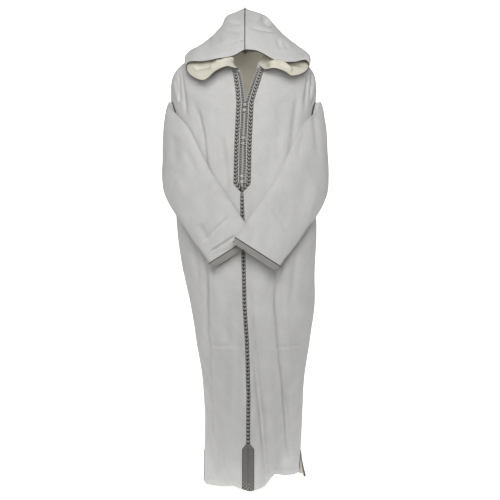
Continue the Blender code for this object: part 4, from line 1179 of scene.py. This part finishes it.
def make_nape_ring():
    turn = np.radians(np.linspace(0, 360, 40))
    ring = np.stack([np.cos(turn), 0 * turn, np.sin(turn)], -1) * NAPE_RING_RADIUS
    ring = ring + NAPE_SEAT - (0, NAPE_RING_OFFSET, 0)
    normals = np.repeat([[0.0, 1.0, 0.0]], len(ring), 0)
    groups = [(BLACK, ply) for ply in ply_meshes(*even(ring, normals, 0.0006), 0.0009, 0.0035)]
    tubes("nape_ring_plies", groups, ["nape_ring"])


# Braid on the body
def strip_of(side, edges, columns=7, step=0.003):
    """A strip between edge pairs: (inner distance, its z, outer distance, its z)."""
    edges = np.asarray(edges, float)
    middle = (edges[:, :2] + edges[:, 2:]) / 2
    steps = np.linalg.norm(np.diff(middle, axis=0), axis=-1)
    s = np.concatenate([[0], np.cumsum(steps)])
    at = np.unique(np.concatenate([s, np.linspace(0, s[-1], int(s[-1] / step))]))
    rows = np.stack([np.interp(at, s, edges[:, i]) for i in range(4)], -1)
    share = np.linspace(0, 1, columns)
    distance = rows[:, :1] + (rows[:, 2:3] - rows[:, :1]) * share
    height = rows[:, 1:2] + (rows[:, 3:] - rows[:, 1:2]) * share
    return Strip(face_out(front_point(side, distance, height), side))


Yarn = namedtuple("Yarn", "finish share outer inner")  # where in a V, and its ends
PLACKET_YARNS = (
    Yarn(SILVER, 0.00, 0.80, 0.14),
    Yarn(SILVER, 0.14, 0.88, 0.05),
    Yarn(SILVER, 0.28, 0.80, 0.06),
    Yarn(DUSK, 0.43, 0.90, 0.04),
    Yarn(BLACK, 0.57, 0.92, 0.03),
    Yarn(BLACK, 0.71, 0.92, 0.03),
    Yarn(DUSK, 0.86, 0.90, 0.04),
)
FRONT_YARNS = (
    Yarn(PALE, 0.00, 0.74, 0.40),
    Yarn(BRIGHT, 0.16, 0.80, 0.30),
    Yarn(PALE, 0.32, 0.74, 0.40),
    Yarn(BLACK, 0.50, 0.88, 0.05),
    Yarn(BLACK, 0.66, 0.90, 0.03),
    Yarn(BLACK, 0.82, 0.88, 0.05),
)
ARMHOLE_YARNS = (
    Yarn(DUSK, 0.0, 0.92, 0.05),
    Yarn(BLACK, 0.34, 0.92, 0.05),
    Yarn(BLACK, 0.67, 0.92, 0.05),
)

SLIT_YARNS = (BLACK, GREY, DUSK, SILVER, GREY, BLACK)


def chevrons(strip, pitch, radius, yarns, slant=0.62):
    """Two columns of slanting yarns that meet at the middle in Vs, one V a pitch."""
    groups = []
    vs = np.arange(int(strip.length / pitch) + 1)
    for half in (-1, 1):
        for yarn in yarns:
            s = (vs + yarn.share) * pitch
            starts = np.stack([s, np.full_like(s, half * yarn.outer)], 1)
            ends = np.stack([s + pitch * slant, np.full_like(s, half * yarn.inner)], 1)
            lift = 0.0012 if yarn.finish in (BLACK, DUSK) else 0.0016
            made = strip.threads(starts, ends, lift, radius, 0.8, 6, 0.0004)
            groups.append((yarn.finish, made))
    return groups


def make_placket():
    lines = FRONT_LINES[0]
    width = lines.outer - lines.chevron
    slope = (PLACKET_SHOULDER_Z - PLACKET_END_Z) / lines.outer
    inner_top = PLACKET_SHOULDER_Z + width * math.tan(math.atan(1 / slope) / 2)
    inner_end = PLACKET_END_Z + width * math.hypot(1, slope)
    slant = (inner_top - inner_end) / lines.chevron
    top = float(spline(BODY_ROWS, 0.5)[1])
    for side, name in ((-1, "left"), (1, "right")):
        braid = strip_of(
            side,
            (
                (lines.chevron, top, lines.outer, top),
                (lines.chevron, inner_top, lines.outer, PLACKET_SHOULDER_Z),
                (SEAM_GAP, inner_end, SEAM_GAP, PLACKET_END_Z),
            ),
        )
        braid.ribbon("placket_ribbon_" + name, BLACK, ["placket_braid_" + name])
        groups = chevrons(braid, 0.0118, 0.00086, PLACKET_YARNS)
        for u in (-0.97, 0.97):
            groups += [(DUSK, ply) for ply in braid.plies(u, 0.0012, 0.0008, 0.0040)]
        tubes("placket_chevrons_" + name, groups)
        low = [inner_end + d * slant + 2 * SEAM_GAP for d in (lines.cord, lines.beads)]
        beads = strip_of(
            side, ((lines.cord, top, lines.beads, top), (lines.cord, low[0], lines.beads, low[1]))
        )
        beads.ribbon("bead_ribbon_" + name, DUSK, ["placket_beads_" + name])
        pitch = 0.0080
        s = np.arange(0.003, beads.length - 0.002, pitch)
        wide = np.stack([s, np.full_like(s, -0.62)], 1)
        groups = [(SILVER, beads.threads(wide, wide + (0, 1.24), 0.0016, 0.0014, 0.8, 7, 0.0006))]
        gap = wide + (pitch / 2, 0)
        groups.append((GREY, beads.threads(gap, gap + (0, 1.24), 0.0013, 0.0011, 0.8, 7, 0.0003)))
        tubes("placket_beads_row_" + name, groups)
        cord_low = inner_end + 2 * SEAM_GAP
        cord_top = BODY[0].z_front - 0.008
        edge = strip_of(
            side, ((0.0004, cord_top, 0.0030, cord_top), (0.0004, cord_low, 0.0030, cord_low))
        )
        groups = [(SILVER, ply) for ply in edge.plies(0.0, 0.0012, 0.0012, 0.0050)]
        tubes("slit_edge_plies_" + name, groups)


def make_front_braid():
    heights = np.linspace(PLACKET_END_Z - 0.001, TAB_TOP_Z, 240)[:, None]
    half = np.interp(-heights[:, 0], [0.45, 0.5, 1.3], [0.0046, 0.0058, 0.0055])
    grid = np.concatenate(
        [
            front_point(-1, half[:, None] * np.array([1, 0.5, 0]), heights),
            front_point(1, half[:, None] * np.array([0, 0.5, 1]), heights),
        ],
        1,
    )
    strip = Strip(grid)
    strip.ribbon("front_ribbon", BLACK, ["front_braid"])
    groups = chevrons(strip, 0.0122, 0.00100, FRONT_YARNS)
    for u in (-0.93, 0.93):
        groups += [(BLACK, ply) for ply in strip.plies(u, 0.0012, 0.0010, 0.0050)]
    tubes("front_chevrons", groups)


def make_tab():
    """Cords side by side from a narrow neck, tied across in small knots above the hem."""
    heights = np.unique(
        np.concatenate(
            [
                np.linspace(TAB_TOP_Z - 0.001, TAB_SHOULDER_Z, 12),
                np.linspace(TAB_SHOULDER_Z, BODY[HEM].z_front, 70),
            ]
        )
    )[::-1, None]
    opened = np.clip((TAB_TOP_Z - heights) / (TAB_TOP_Z - TAB_SHOULDER_Z), 0, 1)
    full = FRONT_LINES[-1].chevron
    half = TAB_TIP_WIDTH / 2 + (full - TAB_TIP_WIDTH / 2) * opened
    spaces = np.linspace(0, 1, 7)
    grid = np.concatenate(
        [front_point(-1, half * spaces[::-1], heights), front_point(1, half * spaces, heights)], 1
    )
    strip = Strip(grid)
    strip.ribbon("tab_ribbon", DUSK, ["hem_tab"])
    count = 28
    shades = (PALE, GREY, PALE, DUSK)
    dark = (0, count // 2 - 1, count // 2, count - 1)
    groups = []
    for i in range(count):
        u = ((i + 0.5) / count * 2 - 1) * 0.97
        finish = BLACK if i in dark else shades[i % len(shades)]
        groups.append((finish, strip.run(u, 0.0012, 0.00070, 1.0, 0.003)))
    for kind, shift in ((SILVER, 0), (DUSK, 1)):
        knots = [
            (strip.length - 0.0035 - row * 0.0052, -0.80 + i * 0.2667)
            for row in range(5)
            for i in range(7)
            if (row + i) % 2 == shift
        ]
        starts = np.array(knots)
        step = (0.0020, 0)
        made = strip.threads(starts - step, starts + step, 0.0019, 0.0016, 0.7, 5)
        groups.append((kind, made))
    tubes("tab_cords", groups)


def make_edge_braids():
    turn = np.linspace(0, np.pi, 60)[:, None]
    armhole = ARMHOLE_TOP + (UNDERARM - ARMHOLE_TOP) * (1 - np.cos(turn)) / 2
    slit = np.linspace(SLIT_TOP, HEM, 40)[:, None]
    for side, name in ((-1, "left"), (1, "right")):
        for place, toward in (("front", -1), ("back", 1)):
            label = place + "_" + name
            for kind, section in (("armhole", armhole), ("slit", slit)):
                edge = side_seam(section, side) + toward * side_opening(section, side)
                share = np.array([0.22, 0.6, 1.0])
                angle = side * (edge + toward * SIDE_BAND_ANGLE * share)
                if side * toward < 0:
                    angle = angle[:, ::-1]
                strip = Strip(robe(section, angle))
                finish = BLACK if kind == "armhole" else DUSK
                strip.ribbon(kind + "_ribbon_" + label, finish, [kind + "_braid_" + label])
                if kind == "armhole":
                    groups = chevrons(strip, 0.0048, 0.0009, ARMHOLE_YARNS)
                else:
                    places = np.linspace(-0.84, 0.84, len(SLIT_YARNS))
                    groups = [
                        (shade, strip.run(u, 0.0012, 0.0011))
                        for u, shade in zip(places, SLIT_YARNS)
                    ]
                tubes(kind + "_threads_" + label, groups)


# Sewing
STITCH = 0.0032
STITCH_GAP = 0.0018


def stitched(points, normals):
    """Sewing stitches along a line, each a short thread that dips at its ends."""
    line, facing = even(points, normals, 0.0008)
    s = np.arange(len(line)) * np.linalg.norm(line[1] - line[0])
    starts = np.arange(0.004, s[-1] - 0.006, STITCH + STITCH_GAP)
    share = np.linspace(0, 1, 4)
    at = starts[:, None] + share * STITCH
    read = [
        np.stack([np.interp(at, s, rows[:, i]) for i in range(3)], -1)
        for rows in (line, facing)
    ]
    lift = 0.0003 + 0.0003 * np.sin(np.pi * share)[None, :, None]
    return tube_mesh(read[0] + read[1] * lift, read[1], 0.00032, 0.8)


def make_stitches():
    """Rows of sewing along the hem's facing and down the side seams."""
    groups = []
    for first, last in ((-172, -104), (-92, -4), (6, 84), (98, 172)):
        angle = np.linspace(first, last, 160)
        hem = np.interp(angle, *zip(*HEM_LINE))
        top = BODY[SLIT_TOP].z_side
        section = SLIT_TOP + (HEM - SLIT_TOP) * (top - hem - HEM_FACING) / (top - hem)
        groups.append((THREAD, stitched(robe(section, angle), body_normal(section, angle))))
    section = np.linspace(UNDERARM + 0.3, SLIT_TOP, 400)
    for side in (-1, 1):
        seam = side_seam(section, side)
        for away in (-1.6, 1.6):
            angle = side * (seam + away)
            line = robe(section, angle)
            groups.append((THREAD, stitched(line, body_normal(section, angle))))
    tubes("sewing_stitches", groups)


# Buttons
KnotForm = namedtuple("KnotForm", "wide high tilt")  # shares of the knot's radius, degrees
KNOT_FORMS = (KnotForm(1.60, 0.84, 34), KnotForm(1.60, 0.80, 0), KnotForm(1.20, 1.12, 0))


def make_buttons():
    """Knotted buttons, each a cord wound over itself into a ball, held in a loop."""
    for pair, height in enumerate(BUTTON_HEIGHTS, 1):
        for which, name in ((0.5, "upper"), (-0.5, "lower")):
            z = height + which * KNOT_SPACING
            seat = (front_point(-1, 0.0, np.array(z)) + front_point(1, 0.0, np.array(z))) / 2
            label = "%d_%s" % (pair, name)
            make_knot(label, seat - (0, KNOT_RADIUS + SEAM_GAP, 0), KNOT_FORMS[pair - 1])
            make_loop(label, seat)


def make_knot(label, centre, form):
    """A bright cord wound into a flat knot, on a dark bed."""
    t = np.linspace(0, 2 * np.pi, 170)
    round_it, up = 3 * t, 0.95 * np.sin(4 * t)
    reach = KNOT_RADIUS * (0.76 + 0.10 * np.cos(8 * t + 0.6))
    path = np.stack(
        [np.sin(up), np.cos(up) * np.cos(round_it), np.cos(up) * np.sin(round_it)], -1
    )
    tilt = math.radians(form.tilt)
    turned = np.array(
        [
            [math.cos(tilt), 0, math.sin(tilt)],
            [0, 1, 0],
            [-math.sin(tilt), 0, math.cos(tilt)],
        ]
    )
    normals = path @ turned
    path = (path * reach[:, None] * (form.wide, 0.8, form.high)) @ turned
    groups = [(BRIGHT, tube_mesh((path + centre)[None], normals[None], 0.0013, 1.0, False))]
    across = np.linspace(-1, 1, 9)[:, None] * (np.array([form.wide, 0, 0]) @ turned)
    facing = np.repeat(np.array([[0.0, -1.0, 0.0]]), 9, 0)
    core = across * KNOT_RADIUS * 0.55 + centre
    groups.append((DUSK, tube_mesh(core[None], facing[None], KNOT_RADIUS * 0.60)))
    bed = across * KNOT_RADIUS * 1.25 + centre + (0, KNOT_RADIUS * 0.72, 0)
    groups.append((BLACK, tube_mesh(bed[None], facing[None], KNOT_RADIUS * 1.8, 0.16)))
    tubes("button_" + label, groups, ["knot_" + label])


def make_loop(label, seat):
    lift = 0.0012 + SEAM_GAP + 0.0009
    reach = KNOT_RADIUS + 0.0012
    turn = np.radians(np.linspace(75, 285, 40))
    arc = np.stack([np.cos(turn), 0 * turn, np.sin(turn)], -1) * reach
    ends = [np.array([(x, 0, s * arc[0, 2] * 0.7) for x in np.linspace(0.010, 0.003, 5)]) for s in (1, -1)]
    path = np.concatenate([ends[0], arc, ends[1][::-1]]) + seat - (0, lift, 0)
    normals = np.repeat(np.array([[0.0, -1.0, 0.0]]), len(path), 0)
    groups = [(SILVER, ply) for ply in ply_meshes(*even(path, normals, 0.0008), 0.0010, 0.004)]
    tubes("loop_plies_" + label, groups, ["loop_" + label])


# Camera, light and floor
Lamp = namedtuple("Lamp", "name place target size power")
LAMPS = (
    Lamp("key", (0.05, -2.1, 0.50), (0, 0, -0.15), 1.6, 34),
    Lamp("front_fill", (-0.9, -3.1, -0.65), (0, 0, 0.0), 0.7, 12),
    Lamp("neck_bounce", (0.012, -0.04, -0.14), (0, 0.07, 0.0), 0.05, 0.06),
    Lamp("wall_left", (-2.6, 1.2, 1.6), (-0.6, 4.9, -0.2), 1.5, 70),
    Lamp("wall_right", (2.6, 1.2, 1.6), (0.6, 4.9, -0.2), 1.5, 70),
)
EYE = (0.0168, -3.5, -0.63)  # where the photograph was taken from
LENS = 75.2  # mm, on a sensor 36 mm wide
FLOOR_UNDER = 0.004  # from the hem down to the floor
WALL_START = 2.5  # y where the white floor starts to bend up into the wall
WALL_BEND = 2.5  # radius of that bend
WALL_TOP = 1.9
WHITE_REACH = 2.7  # half the width of the white floor and wall
FRONT_REACH = 9.0  # the same for the floor in front, and its length
WORLD_LIGHT = 0.20
FLOOR_GLOW = 0.80
WHITE_FROM = -0.24  # y where the white floor starts, at the picture's lower edge
BODY_LOW = min(z for _, z in HEM_LINE)


def make_stage():
    camera = bpy.data.cameras.new("camera")
    camera.sensor_width = 36
    camera.lens = LENS
    eye = bpy.data.objects.new("camera", camera)
    bpy.context.scene.collection.objects.link(eye)
    eye.location = EYE
    eye.rotation_euler = (math.radians(90), 0, 0)
    bpy.context.scene.camera = eye
    bpy.context.scene.view_settings.view_transform = "Standard"
    world = bpy.data.worlds.new("studio")
    bpy.context.scene.world = world
    world.use_nodes = True
    background = world.node_tree.nodes["Background"]
    background.inputs["Color"].default_value = (1.0, 1.0, 1.0, 1.0)
    background.inputs["Strength"].default_value = WORLD_LIGHT
    for lamp in LAMPS:
        light = bpy.data.lights.new(lamp.name, "AREA")
        light.shape, light.size, light.energy = "DISK", lamp.size, lamp.power
        made = bpy.data.objects.new(lamp.name, light)
        bpy.context.scene.collection.objects.link(made)
        made.location = lamp.place
        aim = Vector(lamp.target) - Vector(lamp.place)
        made.rotation_euler = aim.to_track_quat("-Z", "Y").to_euler()
    low = BODY_LOW - FLOOR_UNDER
    bend = [
        (WALL_START + WALL_BEND * math.sin(t), low + WALL_BEND * (1 - math.cos(t)))
        for t in np.radians(np.linspace(0, 90, 16))
    ]
    wall = [(WHITE_FROM, low), *bend, (bend[-1][0], WALL_TOP)]
    front = [(-FRONT_REACH, low), (WHITE_FROM, low)]
    make_floor("white_floor", wall, WHITE_REACH, (0.80, 0.80, 0.80), FLOOR_GLOW)
    make_floor("front_floor", front, FRONT_REACH, (0.42, 0.42, 0.42), 0.0)


def make_floor(name, bend, reach, colour, glow):
    """A sheet that follows the bend, which is given as y and z; reach is half its width."""
    points = [(x, y, z) for y, z in bend for x in (-reach, reach)]
    faces = [(2 * i, 2 * i + 1, 2 * i + 3, 2 * i + 2) for i in range(len(bend) - 1)]
    mesh = bpy.data.meshes.new(name)
    mesh.from_pydata(points, [], faces)
    mesh.shade_smooth()
    finish, _, shader = shader_of(name, colour, 0.9)
    shader.inputs["Emission Color"].default_value = (1.0, 1.0, 1.0, 1.0)
    shader.inputs["Emission Strength"].default_value = glow
    mesh.materials.append(finish)
    made = bpy.data.objects.new(name, mesh)
    bpy.context.scene.collection.objects.link(made)


def main():
    make_stage()
    tree_angle = np.arange(-180, 180, 4.0)
    tree_section = np.linspace(0, HEM, 90)[:, None]
    body_tree = surface_tree(body(tree_section, tree_angle[None, :]), True)
    cloths = make_body() + make_sleeves(body_tree) + make_hood(body_tree)
    make_placket()
    make_front_braid()
    make_tab()
    make_edge_braids()
    make_stitches()
    make_buttons()


main()
